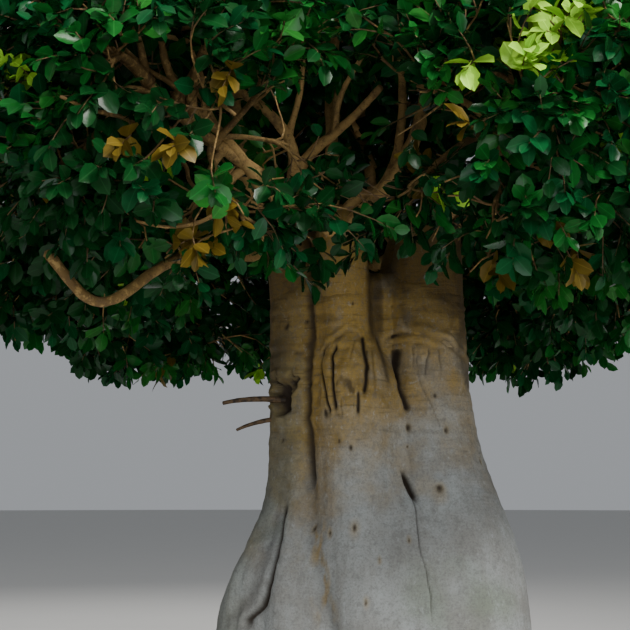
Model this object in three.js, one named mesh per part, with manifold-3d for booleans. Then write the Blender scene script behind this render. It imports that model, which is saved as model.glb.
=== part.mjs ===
// A landscape ficus bonsai rooted in the ground: a swollen trunk of fused stems, boughs that fan
// out of its fork, and a clipped dome of leafy masses.
// Millimetres, +Z up. The origin is the middle of the flat cut at ground level, and the view from
// the front looks along +Y with +X to the right.
import * as THREE from "three";
import { mergeVertices } from "three/addons/utils/BufferGeometryUtils.js";
import Module from "manifold-3d";

const wasm = await Module();
wasm.setup();

const GAP = 0.3; // clearance between two pieces that touch on the real tree
const GOLDEN_TURN = Math.PI * (3 - Math.sqrt(5));
const UP = new THREE.Vector3(0, 0, 1);

// Trunk
const BODY_TOP = 1175; // where the fused body closes between its stems
const BODY_ROUNDING = 70; // the height over which it closes
const BODY_CLOSING = 0.5; // how far in it has closed by its top
const BODY_SIDES = 48;
const WALL_RINGS = 15;
const RING_CROWDING = 1.12; // above 1, the rings stand closer near the ground
const ROUNDING_RINGS = 3;
const HEART = { top: 118, foot: 190, swellHeight: 600, swellRun: 100 };
const BLEND = 18; // power of the soft maximum: higher cuts the grooves deeper
const TOE_HEIGHT = 85; // how quickly the root toes die out above the ground
const TOE_SPREAD = 0.13;
const TOE_SWELL = 9;
// Each stem is a round column that leans from its foot to its top. The swell is an S-curve round
// swellHeight. A stem with a tip goes on past the body to carry boughs.
const STEMS = {
  front: {
    foot: { x: 8, y: -158, radius: 108 },
    top: { x: -55, y: -112, radius: 56 },
    swellHeight: 570,
    swellRun: 85,
    tip: { x: -66, y: -142, height: 1300, radius: 44 },
  },
  front_union: {
    foot: { x: -30, y: -124, radius: 84 },
    top: { x: -55, y: -106, radius: 47 },
    swellHeight: 992,
    swellRun: 26,
  },
  front_web: {
    foot: { x: 108, y: -120, radius: 120 },
    top: { x: 40, y: -50, radius: 40 },
    swellHeight: 690,
    swellRun: 60,
  },
  right: {
    foot: { x: 203, y: -112, radius: 128 },
    top: { x: 117, y: -62, radius: 87 },
    swellHeight: 690,
    swellRun: 90,
    tip: { x: 136, y: -78, height: 1315, radius: 58 },
  },
  left: {
    foot: { x: -290, y: -50, radius: 50 },
    top: { x: -161, y: -36, radius: 60 },
    swellHeight: 550,
    swellRun: 56,
    tip: { x: -196, y: -40, height: 1290, radius: 44 },
  },
  left_root: {
    foot: { x: -163, y: -146, radius: 70 },
    top: { x: -136, y: -60, radius: 46 },
    swellHeight: 610,
    swellRun: 80,
  },
  back_right: {
    foot: { x: 190, y: 150, radius: 125 },
    top: { x: 88, y: 104, radius: 84 },
    swellHeight: 630,
    swellRun: 100,
    tip: { x: 112, y: 130, height: 1305, radius: 50 },
  },
  back_left: {
    foot: { x: -185, y: 140, radius: 118 },
    top: { x: -98, y: 104, radius: 82 },
    swellHeight: 590,
    swellRun: 95,
    tip: { x: -122, y: 128, height: 1300, radius: 48 },
  },
  back_root: {
    foot: { x: 12, y: 232, radius: 96 },
    top: { x: -6, y: 142, radius: 56 },
    swellHeight: 560,
    swellRun: 100,
  },
};
// Deep folds where neighbouring roots press together, as angle in degrees and height at each end.
const FOLDS = [
  { low: { angle: -158, height: 330 }, high: { angle: -148, height: 640 }, depth: 52, width: 14 },
  { low: { angle: -66, height: 870 }, high: { angle: -71, height: 1010 }, depth: 24, width: 14 },
  { low: { angle: -114, height: 430 }, high: { angle: -131, height: 900 }, depth: 10, width: 26 },
  { low: { angle: 64, height: 260 }, high: { angle: 58, height: 700 }, depth: 34, width: 16 },
  { low: { angle: 176, height: 240 }, high: { angle: 172, height: 620 }, depth: 30, width: 16 },
];
const FOLD_FADE = 60; // the height over which a fold runs out at each end
// A rotten knot hole on the left stem, and a slit where the front stem meets the right one.
const HOLLOWS = [
  { angle: -151, height: 896, wide: 17, tall: 28, deep: 26, lean: 0 },
  { angle: -67, height: 712, wide: 9, tall: 36, deep: 26, lean: 14 },
];
// Two dead twigs that stick out to the left below the knot hole.
const DEAD_TWIGS = [
  { radius: 7.5, points: [[-180, -60, 893], [-262, -86, 900], [-318, -112, 884]] },
  { radius: 6, points: [[-180, -55, 856], [-250, -70, 850], [-290, -86, 828]] },
];
const DEAD_TWIG = { tipShare: 0.5, sides: 5, steps: 3 };
// A stem's end above the body: where it starts inside it, and how its radius runs to its round tip.
const STEM_END = { start: 1000, inset: 0.96, hold: 2.2, rounding: 0.84, closing: 0.74, sides: 11, steps: 6 };

// Crown
const CROWN_X = -60; // the crown stands a little left of the trunk
const LOW_RING = {
  names: ["front_right", "right", "back_right", "back", "back_left", "left", "front_left"],
  stems: ["right", "right", "back_right", "back_right", "back_left", "left", "front"],
  frontAngle: 62, // degrees between the two masses in front
  parting: 36, // half the width of the opening between them
  reach: 650,
  height: 1350,
  fall: 50, // how much lower the back mass stands than one at the side
  size: { out: 360, across: 400, up: 370 },
};
const HIGH_RING = {
  names: ["front_right", "right", "back", "left", "front_left"],
  stems: ["front", "right", "back_right", "back_left", "left"],
  frontAngle: 76,
  parting: 22,
  reach: 500,
  height: 1735,
  fall: 0,
  size: { out: 375, across: 390, up: 330 },
};
const CROWN_TOP = { height: 1880, size: { out: 420, across: 420, up: 320 }, stem: "back_left" };
const CELL_MARGIN = 3; // half the gap kept between neighbouring masses
const FILLING = 0.16; // how far a mass fills out beyond its outline where it meets a neighbour
const FILLING_FROM = 0.62; // where that starts, as its outline's share of the way to the neighbour
const CORE_SHARE = 0.53; // a mass's core, as a share of its full reach
const CORE_LUMPS = 0.36; // how far its corners stand in or out, as a share of its reach
const CORE_INSET = 12; // how far a core stays from its neighbours' cells

// Boughs
const LOW_BOUGH = { radius: 25, taper: 0.56, lift: 0.6, leave: 0.4, arrive: 0.35, rising: 0.1, steps: 5 };
const HIGH_BOUGH = { radius: 20, taper: 0.65, lift: 0.5, leave: 0.42, arrive: 0.36, rising: 0.75, steps: 6 };
const BOUGH_SIDES = 6;
const BOUGH_SINK = 55; // how far below a stem's tip its boughs are rooted
const ENTRY_SHARE = 0.82; // where a bough ends, as a share of the mass's reach towards it
// The thin limb that sags in a loop under the front left foliage before it rises into it.
const LOOP = {
  stem: "left",
  mass: "low_front_left",
  radius: 15,
  taper: 0.6,
  steps: 14,
  points: [
    [-290, -235, 1225],
    [-408, -430, 1125],
    [-515, -560, 1035],
    [-598, -592, 1118],
  ],
};

// Leaves and twigs. Each leaf of the solids stands for a spray of the real tree.
const LEAF = {
  length: 172,
  width: 116,
  thickness: 12,
  widest: 0.56, // where it is widest, as a share of its length
  droop: 0.09,
  smallest: 0.86,
  spread: 0.28,
  apart: 21, // how far its points keep from the leaves of other sprays
};
const LEAF_ROWS = 7;
const LEAF_SHRINKS = [1, 0.82, 0.66]; // sizes tried in turn until a leaf fits
const TWIG = { radius: 9, tipRadius: 7.5, root: 0.7, checks: 8 }; // root: as a share of the core's reach
const INNER_STEM = { radius: 0.96, bend: 0.35, steps: 2 }; // as shares of its bough's tip and its length
const SPRAY = { leaves: 3, spacing: 20, tilt: 60, tiltSpread: 9, endTilt: 36, sunk: 4, endSunk: 7 };
const TWIGS = { low: 29, high: 29, top: 33 }; // directions tried round each mass
const FIRST_SEED = 101;
const TWIG_SHORTEST = 60;
const TWIG_INSET = 0.8; // how far a twig ends inside the outline, in leaf lengths
const OUTER_SIDE = -0.2; // twigs keep to the side of a mass that faces out of the crown
const CROWN_HEART = new THREE.Vector3(CROWN_X, 0, 1150);
const LIMB_CLEARANCE = 6;
const LIMB_BALLS = 40;

const BARK = { color: 0x8f8b84, roughness: 0.86, metalness: 0 };
const TWIG_BARK = { color: 0x7a5f42, roughness: 0.82, metalness: 0 };
const FOLIAGE = { color: 0x24592c, roughness: 0.42, metalness: 0 };

const radians = THREE.MathUtils.degToRad;
const vector = (x, y, z) => new THREE.Vector3(x, y, z);
const blend = (a, shareA, b, shareB) => a.clone().multiplyScalar(shareA).addScaledVector(b, shareB);

// A repeatable stream of numbers from 0 to 1.
function seeded(seed) {
  let state = seed >>> 0;
  return () => {
    state = (state + 0x6d2b79f5) >>> 0;
    let t = state;
    t = Math.imul(t ^ (t >>> 15), t | 1);
    t ^= t + Math.imul(t ^ (t >>> 7), t | 61);
    return ((t ^ (t >>> 14)) >>> 0) / 4294967296;
  };
}

// A closed solid from a geometry, and a geometry from a solid.
function solidOf(geometry) {
  const bare = geometry.clone();
  bare.deleteAttribute("normal");
  bare.deleteAttribute("uv");
  const merged = mergeVertices(bare, 1e-3);
  return new wasm.Manifold(
    new wasm.Mesh({
      numProp: 3,
      vertProperties: new Float32Array(merged.attributes.position.array),
      triVerts: new Uint32Array(merged.index.array),
    }),
  );
}

function geometryOf(solid) {
  const mesh = solid.getMesh();
  const geometry = new THREE.BufferGeometry();
  geometry.setAttribute("position", new THREE.BufferAttribute(mesh.vertProperties, 3));
  geometry.setIndex(new THREE.BufferAttribute(mesh.triVerts, 1));
  geometry.computeVertexNormals();
  return geometry;
}

// The largest body of a solid. Loose scraps are dropped and sealed hollows are filled.
function largestBody(solid) {
  return solid.decompose().reduce((best, body) => (body.volume() > best.volume() ? body : best));
}

// A closed cylinder bent along a curve, its radius a function of the share of the way along.
function limb(curve, radiusAt, sides, steps) {
  const geometry = new THREE.CylinderGeometry(1, 1, 1, sides, steps);
  const { normals, binormals } = curve.computeFrenetFrames(steps);
  const position = geometry.attributes.position;
  for (let i = 0; i < position.count; i++) {
    const share = position.getY(i) + 0.5;
    const step = Math.round(share * steps);
    const radius = radiusAt(share);
    const point = curve
      .getPointAt(step / steps)
      .addScaledVector(normals[step], position.getX(i) * radius)
      .addScaledVector(binormals[step], -position.getZ(i) * radius);
    position.setXYZ(i, point.x, point.y, point.z);
  }
  return solidOf(geometry);
}

// Trunk

function swell(height, part) {
  return 1 / (1 + Math.exp((height - part.swellHeight) / part.swellRun));
}

// A stem's round outline at a height: its foot's and its top's, mixed by the swell, with root toes.
function stemAt(stem, height) {
  const share = swell(height, stem);
  const toe = Math.exp(-height / TOE_HEIGHT);
  const mix = (key) => THREE.MathUtils.lerp(stem.top[key], stem.foot[key], share);
  return {
    x: mix("x") * (1 + TOE_SPREAD * toe),
    y: mix("y") * (1 + TOE_SPREAD * toe),
    radius: mix("radius") + TOE_SWELL * toe,
  };
}

// How far a ray from the axis goes before it leaves a circle, or 0 if it misses it.
function rayThroughCircle(angle, circle) {
  const along = circle.x * Math.cos(angle) + circle.y * Math.sin(angle);
  const inside = circle.radius ** 2 - circle.x ** 2 - circle.y ** 2 + along ** 2;
  return inside > 0 ? Math.max(0, along + Math.sqrt(inside)) : 0;
}

function foldDepth(angle, height, radius) {
  let depth = 0;
  for (const fold of FOLDS) {
    const share = (height - fold.low.height) / (fold.high.height - fold.low.height);
    const along = THREE.MathUtils.clamp(share, 0, 1);
    const off = angle - radians(THREE.MathUtils.lerp(fold.low.angle, fold.high.angle, along));
    const turn = Math.atan2(Math.sin(off), Math.cos(off));
    const past = Math.max(fold.low.height - height, height - fold.high.height, 0);
    const fade = Math.exp(-((past / FOLD_FADE) ** 2));
    depth += fold.depth * fade * Math.exp(-(((turn * radius) / fold.width) ** 2));
  }
  return depth;
}

// The body's outline: the soft maximum of where a ray leaves each stem and the heart, less the folds.
function bodyRadius(angle, height) {
  const heart = THREE.MathUtils.lerp(HEART.top, HEART.foot, swell(height, HEART));
  let sum = heart ** BLEND;
  for (const stem of Object.values(STEMS)) {
    sum += rayThroughCircle(angle, stemAt(stem, height)) ** BLEND;
  }
  const radius = sum ** (1 / BLEND);
  return radius - foldDepth(angle, height, radius);
}

// The rings' heights and how far in each is drawn: a wall, then a rounding that closes the top.
function bodyRings() {
  const wallTop = BODY_TOP - BODY_ROUNDING;
  const rings = [];
  for (let i = 0; i <= WALL_RINGS; i++) {
    rings.push({ height: wallTop * (i / WALL_RINGS) ** RING_CROWDING, drawn: 1 });
  }
  for (let i = 1; i <= ROUNDING_RINGS; i++) {
    const turn = (Math.PI / 2) * (i / ROUNDING_RINGS);
    const drawn = 1 - BODY_CLOSING * (1 - Math.cos(turn));
    rings.push({ height: wallTop + BODY_ROUNDING * Math.sin(turn), drawn });
  }
  return rings;
}

// The fused body: a closed cylinder whose points move out to the outline at their angle and height.
function trunkBody(grow) {
  const rings = bodyRings();
  const last = rings.length - 1;
  const geometry = new THREE.CylinderGeometry(1, 1, 1, BODY_SIDES, last);
  const position = geometry.attributes.position;
  for (let i = 0; i < position.count; i++) {
    const ring = rings[Math.round((position.getY(i) + 0.5) * last)];
    const angle = Math.atan2(position.getX(i), position.getZ(i));
    const share = Math.hypot(position.getX(i), position.getZ(i));
    const radius = share * (bodyRadius(angle, ring.height) * ring.drawn + grow);
    const rise = ring === rings[last] ? grow : 0;
    position.setXYZ(i, radius * Math.cos(angle), radius * Math.sin(angle), ring.height + rise);
  }
  return solidOf(geometry);
}

// A stem's own end above the body, with a rounded tip.
function stemCurve(stem) {
  const low = stemAt(stem, STEM_END.start);
  const high = stemAt(stem, BODY_TOP);
  return new THREE.QuadraticBezierCurve3(
    vector(low.x, low.y, STEM_END.start),
    vector(high.x, high.y, BODY_TOP),
    vector(stem.tip.x, stem.tip.y, stem.tip.height),
  );
}

function stemEnd(stem, grow) {
  const start = stemAt(stem, STEM_END.start).radius * STEM_END.inset;
  const radiusAt = (share) => {
    const plain = THREE.MathUtils.lerp(start, stem.tip.radius, share ** STEM_END.hold);
    const past = Math.max(0, (share - STEM_END.rounding) / (1 - STEM_END.rounding));
    return plain * Math.sqrt(1 - STEM_END.closing * past ** 2) + grow;
  };
  return limb(stemCurve(stem), radiusAt, STEM_END.sides, STEM_END.steps);
}

const tippedStems = Object.values(STEMS).filter((stem) => stem.tip);

function trunkSolid(grow) {
  return wasm.Manifold.union([trunkBody(grow), ...tippedStems.map((stem) => stemEnd(stem, grow))]);
}

function hollowSolid(hollow) {
  const angle = radians(hollow.angle);
  const radius = bodyRadius(angle, hollow.height);
  const geometry = new THREE.IcosahedronGeometry(1, 1);
  geometry.scale(hollow.deep, hollow.wide, hollow.tall);
  geometry.rotateX(radians(hollow.lean));
  geometry.rotateZ(angle);
  geometry.translate(radius * Math.cos(angle), radius * Math.sin(angle), hollow.height);
  return solidOf(geometry);
}

function deadTwigSolid(twig) {
  const curve = new THREE.QuadraticBezierCurve3(...twig.points.map((point) => vector(...point)));
  const radiusAt = (share) => twig.radius * THREE.MathUtils.lerp(1, DEAD_TWIG.tipShare, share);
  return limb(curve, radiusAt, DEAD_TWIG.sides, DEAD_TWIG.steps);
}

function finishedTrunk() {
  const hollows = wasm.Manifold.union(HOLLOWS.map(hollowSolid));
  const twigs = DEAD_TWIGS.map(deadTwigSolid);
  return largestBody(wasm.Manifold.union([trunkSolid(0).subtract(hollows), ...twigs]));
}

// Crown: where each mass stands and how far it reaches.

// A ring starts right of the front parting and runs round to the left of it.
function ringOfMasses(level, ring) {
  const first = -90 + ring.frontAngle / 2;
  const step = (360 - ring.frontAngle) / (ring.names.length - 1);
  const last = ring.names.length - 1;
  return ring.names.map((name, i) => {
    const angle = radians(first + i * step);
    const out = vector(Math.cos(angle), Math.sin(angle), 0);
    return {
      name: `${level}_${name}`,
      level,
      stem: ring.stems[i],
      parting: i === 0 || i === last ? ring.parting : 0,
      size: ring.size,
      out,
      across: vector(-out.y, out.x, 0),
      centre: vector(CROWN_X + out.x * ring.reach, out.y * ring.reach, ring.height - out.y * ring.fall),
    };
  });
}

const masses = [
  ...ringOfMasses("low", LOW_RING),
  ...ringOfMasses("high", HIGH_RING),
  {
    name: "top",
    level: "top",
    stem: CROWN_TOP.stem,
    parting: 0,
    size: CROWN_TOP.size,
    out: vector(0, -1, 0),
    across: vector(1, 0, 0),
    centre: vector(CROWN_X, 0, CROWN_TOP.height),
  },
];

// How far a mass may reach in a direction: its rounded outline, which fills out towards its
// neighbours and is cut short half way to them.
function outlineReach(mass, direction) {
  return (
    1 /
    Math.hypot(
      direction.dot(mass.out) / mass.size.out,
      direction.dot(mass.across) / mass.size.across,
      direction.z / mass.size.up,
    )
  );
}

function cellReach(mass, direction) {
  const outline = outlineReach(mass, direction);
  let limit = Infinity;
  let wall = Infinity;
  for (const other of masses) {
    const towards = other.centre.clone().sub(mass.centre);
    const facing = direction.dot(towards);
    if (other !== mass && facing > 0) {
      const opens = mass.parting > 0 && other.parting > 0 && mass.level === other.level;
      const margin = opens ? mass.parting : CELL_MARGIN;
      const reach = (towards.lengthSq() / 2 - margin * towards.length()) / facing;
      limit = Math.min(limit, reach);
      wall = opens ? wall : Math.min(wall, reach);
    }
  }
  const filled = FILLING * THREE.MathUtils.smoothstep(outline / wall, FILLING_FROM, 1);
  return Math.min(limit, outline * (1 + filled));
}

function inMass(mass, point) {
  const offset = point.clone().sub(mass.centre);
  const distance = offset.length();
  return distance < 1 || distance <= cellReach(mass, offset.divideScalar(distance)) + 0.01;
}

// Boughs: each leaves the side of its stem's tip and ends, flat, where it enters its mass.

function tipPoint(stem) {
  return vector(stem.tip.x, stem.tip.y, stem.tip.height - BOUGH_SINK);
}

function boughTo(mass) {
  const shape = mass.level === "low" ? LOW_BOUGH : HIGH_BOUGH;
  const start = tipPoint(STEMS[mass.stem]);
  const inwards = start.clone().sub(mass.centre).normalize();
  const end = mass.centre.clone().addScaledVector(inwards, outlineReach(mass, inwards) * ENTRY_SHARE);
  const span = end.distanceTo(start);
  const level = end.clone().sub(start).setZ(0).normalize();
  const leaving = blend(level, 1, UP, shape.lift).normalize();
  const arriving = blend(inwards, 1 - shape.rising, UP, -shape.rising).normalize();
  const curve = new THREE.CubicBezierCurve3(
    start,
    start.clone().addScaledVector(leaving, span * shape.leave),
    end.clone().addScaledVector(arriving, span * shape.arrive),
    end,
  );
  return { name: `bough_${mass.name}`, curve, mass, ...shape };
}

function loopBough() {
  const mass = masses.find((candidate) => candidate.name === LOOP.mass);
  const points = [tipPoint(STEMS[LOOP.stem]), ...LOOP.points.map((point) => vector(...point))];
  const curve = new THREE.CatmullRomCurve3(points, false, "centripetal");
  return { name: "bough_loop", curve, mass, ...LOOP };
}

const boughs = [...masses.map(boughTo), loopBough()];

const boughRadius = (bough, share) => bough.radius * (1 - (1 - bough.taper) * share);

function boughSolid(bough, grow) {
  return limb(bough.curve, (share) => boughRadius(bough, share) + grow, BOUGH_SIDES, bough.steps);
}

// Every limb as a row of balls, for keeping twigs and leaves off it.
function ballsAlong(curve, radiusAt) {
  const balls = [];
  for (let i = 0; i <= LIMB_BALLS; i++) {
    const share = i / LIMB_BALLS;
    balls.push({ at: curve.getPointAt(share), radius: radiusAt(share) });
  }
  return balls;
}

const limbBalls = [
  ...tippedStems.flatMap((stem) => ballsAlong(stemCurve(stem), () => stem.top.radius)),
  ...boughs.flatMap((bough) => ballsAlong(bough.curve, (share) => boughRadius(bough, share))),
];

function clearOfLimbs(point) {
  const height = THREE.MathUtils.clamp(point.z, 0, BODY_TOP);
  const off = Math.hypot(point.x, point.y) - bodyRadius(Math.atan2(point.y, point.x), height);
  if (point.z < BODY_TOP && off < LIMB_CLEARANCE * 2) return false;
  return limbBalls.every((ball) => ball.at.distanceTo(point) > ball.radius + LIMB_CLEARANCE);
}

// Foliage

// A leaf is an octahedron pulled out to a base, a tip, two sides and a thin middle.
function leafCorners(base, along, face, size) {
  const side = along.clone().cross(face);
  const length = LEAF.length * size;
  return (x, y, z) => {
    const share = x === 0 ? LEAF.widest : (x + 1) / 2;
    return base
      .clone()
      .addScaledVector(along, length * share)
      .addScaledVector(face, (LEAF.thickness * y) / 2 - LEAF.droop * length * share * share)
      .addScaledVector(side, (LEAF.width * size * z) / 2);
  };
}

function leafSolid(corner) {
  const geometry = new THREE.OctahedronGeometry(1, 0);
  const position = geometry.attributes.position;
  for (let i = 0; i < position.count; i++) {
    const point = corner(
      Math.round(position.getX(i)),
      Math.round(position.getY(i)),
      Math.round(position.getZ(i)),
    );
    position.setXYZ(i, point.x, point.y, point.z);
  }
  return solidOf(geometry);
}

// Points spread over a leaf in rows across it.
function leafSamples(corner) {
  const samples = [];
  for (let row = 0; row <= LEAF_ROWS; row++) {
    const share = row / LEAF_ROWS;
    const widest = LEAF.widest;
    const fullness = share < widest ? share / widest : (1 - share) / (1 - widest);
    const near = share < widest ? corner(-1, 0, 0) : corner(1, 0, 0);
    for (const side of [-1, 0, 1]) {
      samples.push(near.clone().lerp(corner(0, 0, side), fullness));
    }
  }
  return samples;
}

const farFrom = (others, point) => others.every((other) => other.distanceTo(point) > LEAF.apart);

// A spray: one leaf runs on from the twig's end and the others leave its three sides in turn.
function spray(mass, curve, others, random) {
  const { tangents, normals, binormals } = curve.computeFrenetFrames(1);
  const direction = tangents[1];
  const leaves = [];
  for (let i = 0; i < SPRAY.leaves; i++) {
    const turn = radians(60 + 120 * i);
    const outwards = blend(normals[1], Math.sin(turn), binormals[1], -Math.cos(turn));
    const leaning = SPRAY.tilt + (random() - 0.5) * 2 * SPRAY.tiltSpread;
    const tilt = radians(i === 0 ? SPRAY.endTilt : leaning);
    const along = blend(direction, Math.cos(tilt), outwards, Math.sin(tilt));
    const face = blend(direction, Math.sin(tilt), outwards, -Math.cos(tilt));
    const base = curve.v2.clone().addScaledVector(direction, -i * SPRAY.spacing);
    base.addScaledVector(along, i === 0 ? -SPRAY.endSunk : -SPRAY.sunk);
    const size = LEAF.smallest + LEAF.spread * random();
    for (const shrink of LEAF_SHRINKS) {
      const corner = leafCorners(base, along, face, size * shrink);
      const samples = leafSamples(corner);
      const fits = (point) => inMass(mass, point) && clearOfLimbs(point) && farFrom(others, point);
      if (samples.every(fits)) {
        leaves.push({ solid: leafSolid(corner), samples });
        break;
      }
    }
  }
  return leaves;
}

function twigIsClear(mass, start, end) {
  for (let i = 0; i <= TWIG.checks; i++) {
    const point = start.clone().lerp(end, i / TWIG.checks);
    if (!inMass(mass, point) || !clearOfLimbs(point)) return false;
  }
  return true;
}

function massCore(mass, random) {
  const core = new THREE.IcosahedronGeometry(1, 1);
  const lumps = new Map();
  const position = core.attributes.position;
  for (let i = 0; i < position.count; i++) {
    const direction = vector(position.getX(i), position.getY(i), position.getZ(i)).normalize();
    const key = direction.toArray().map((value) => value.toFixed(3)).join();
    if (!lumps.has(key)) lumps.set(key, 1 + CORE_LUMPS * (random() - 0.5));
    const wanted = outlineReach(mass, direction) * CORE_SHARE * lumps.get(key);
    const reach = Math.min(wanted, cellReach(mass, direction) - CORE_INSET);
    const point = mass.centre.clone().addScaledVector(direction, reach);
    position.setXYZ(i, point.x, point.y, point.z);
  }
  return solidOf(core);
}

// A mass: a stem in from each bough's tip to a core, and twigs that leave the core at golden-angle
// turns, each with a spray at its end that reaches the mass's outline.
function massSolid(mass, seed) {
  const random = seeded(seed);
  const pieces = [massCore(mass, random)];
  const taken = [];

  for (const bough of boughs.filter((candidate) => candidate.mass === mass)) {
    const end = bough.curve.getPointAt(1);
    const heading = bough.curve.getTangentAt(1);
    const start = end.clone().addScaledVector(heading, GAP);
    const bend = end.distanceTo(mass.centre) * INNER_STEM.bend;
    const middle = end.clone().addScaledVector(heading, bend);
    const stem = new THREE.QuadraticBezierCurve3(start, middle, mass.centre.clone());
    const radius = boughRadius(bough, 1) * INNER_STEM.radius;
    pieces.push(limb(stem, () => radius, BOUGH_SIDES, INNER_STEM.steps));
  }

  const outwards = mass.centre.clone().sub(CROWN_HEART).normalize();
  const tries = TWIGS[mass.level];
  const spin = random() * 2 * Math.PI;
  for (let i = 0; i < tries; i++) {
    const z = 1 - (2 * (i + 0.5)) / tries;
    const flat = Math.sqrt(1 - z * z);
    const turn = spin + i * GOLDEN_TURN;
    const direction = vector(flat * Math.cos(turn), flat * Math.sin(turn), z);
    if (direction.dot(outwards) < OUTER_SIDE) continue;
    const root = outlineReach(mass, direction) * CORE_SHARE * TWIG.root;
    const length = cellReach(mass, direction) - LEAF.length * TWIG_INSET - root;
    const start = mass.centre.clone().addScaledVector(direction, root);
    const end = start.clone().addScaledVector(direction, length);
    if (length < TWIG_SHORTEST || !twigIsClear(mass, start, end)) continue;
    const curve = new THREE.LineCurve3(start, end);
    const leaves = spray(mass, curve, taken, random);
    if (leaves.length === 0) continue;
    const radiusAt = (share) => THREE.MathUtils.lerp(TWIG.radius, TWIG.tipRadius, share);
    pieces.push(limb(curve, radiusAt, 3, 1));
    pieces.push(...leaves.map((leaf) => leaf.solid));
    taken.push(...leaves.flatMap((leaf) => leaf.samples));
  }
  return largestBody(wasm.Manifold.union(pieces).subtract(limbKeepOff));
}

// Assembly

function addMesh(group, name, solid, finish) {
  const mesh = new THREE.Mesh(geometryOf(solid), new THREE.MeshStandardMaterial(finish));
  mesh.name = name;
  group.add(mesh);
}

const tree = new THREE.Group();
addMesh(tree, "trunk", finishedTrunk(), BARK);

// Each bough gives way to the trunk and to the boughs before it, and each mass to all of them.
let limbKeepOff = trunkSolid(GAP);
for (const bough of boughs) {
  addMesh(tree, bough.name, largestBody(boughSolid(bough, 0).subtract(limbKeepOff)), TWIG_BARK);
  limbKeepOff = limbKeepOff.add(boughSolid(bough, GAP));
}

masses.forEach((mass, i) => addMesh(tree, `foliage_${mass.name}`, massSolid(mass, FIRST_SEED + i), FOLIAGE));

export default tree;
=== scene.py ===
"""Looks of a garden ficus bonsai: ridged trunk, boughs, twigs and leaves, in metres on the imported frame."""

import math

import bpy
import numpy as np
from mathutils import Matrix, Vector


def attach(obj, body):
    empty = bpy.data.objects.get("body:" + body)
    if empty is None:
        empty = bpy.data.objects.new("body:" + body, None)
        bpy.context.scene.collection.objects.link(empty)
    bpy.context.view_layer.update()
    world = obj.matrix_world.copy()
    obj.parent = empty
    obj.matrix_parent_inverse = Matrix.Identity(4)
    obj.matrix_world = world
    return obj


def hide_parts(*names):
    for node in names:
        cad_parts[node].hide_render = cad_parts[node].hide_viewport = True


bl_info = {
    "name": "Garden ficus bonsai",
    "version": (1, 0, 0),
    "blender": (4, 5, 0),
    "location": "View3D > Sidebar > Ficus",
    "description": "Builds a ficus bonsai's bark, boughs, twigs and leaves round its solid frame",
    "category": "Add Mesh",
}

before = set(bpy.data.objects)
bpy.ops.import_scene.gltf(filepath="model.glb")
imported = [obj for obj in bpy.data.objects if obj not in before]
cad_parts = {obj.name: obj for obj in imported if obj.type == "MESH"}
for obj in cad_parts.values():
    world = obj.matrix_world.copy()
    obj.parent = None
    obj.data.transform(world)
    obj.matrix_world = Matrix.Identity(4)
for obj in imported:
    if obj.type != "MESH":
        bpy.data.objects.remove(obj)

GOLDEN_TURN = math.pi * (3 - math.sqrt(5))
UNBOUNDED = 9.0
UP = np.array((0.0, 0.0, 1.0))

# The trunk, by the rule of its solid: where the fused body ends, over which height and by how much
# its end closes, the heart, the power of the soft maximum, and the toes of the roots.
BODY_TOP = 1.175
BODY_ROUNDING = 0.070
BODY_CLOSING = 0.5
HEART = {"top": 0.118, "foot": 0.190, "swell": (0.600, 0.100)}
BLEND = 18
TOE_HEIGHT = 0.085
TOE_SPREAD = 0.13
TOE_SWELL = 0.009

# Each stem: foot x, y, radius; top x, y, radius; height and run of its swell; tip x, y, z, radius.
STEMS = {
    "front": ((0.008, -0.158, 0.108), (-0.055, -0.112, 0.056), (0.570, 0.085),
              (-0.066, -0.142, 1.300, 0.044)),
    "front_union": ((-0.030, -0.124, 0.084), (-0.055, -0.106, 0.047), (0.992, 0.026), None),
    "front_web": ((0.108, -0.120, 0.120), (0.040, -0.050, 0.040), (0.690, 0.060), None),
    "right": ((0.203, -0.112, 0.128), (0.117, -0.062, 0.087), (0.690, 0.090),
              (0.136, -0.078, 1.315, 0.058)),
    "left": ((-0.290, -0.050, 0.050), (-0.161, -0.036, 0.060), (0.550, 0.056),
             (-0.196, -0.040, 1.290, 0.044)),
    "left_root": ((-0.163, -0.146, 0.070), (-0.136, -0.060, 0.046), (0.610, 0.080), None),
    "back_right": ((0.190, 0.150, 0.125), (0.088, 0.104, 0.084), (0.630, 0.100),
                   (0.112, 0.130, 1.305, 0.050)),
    "back_left": ((-0.185, 0.140, 0.118), (-0.098, 0.104, 0.082), (0.590, 0.095),
                  (-0.122, 0.128, 1.300, 0.048)),
    "back_root": ((0.012, 0.232, 0.096), (-0.006, 0.142, 0.056), (0.560, 0.100), None),
}

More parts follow.
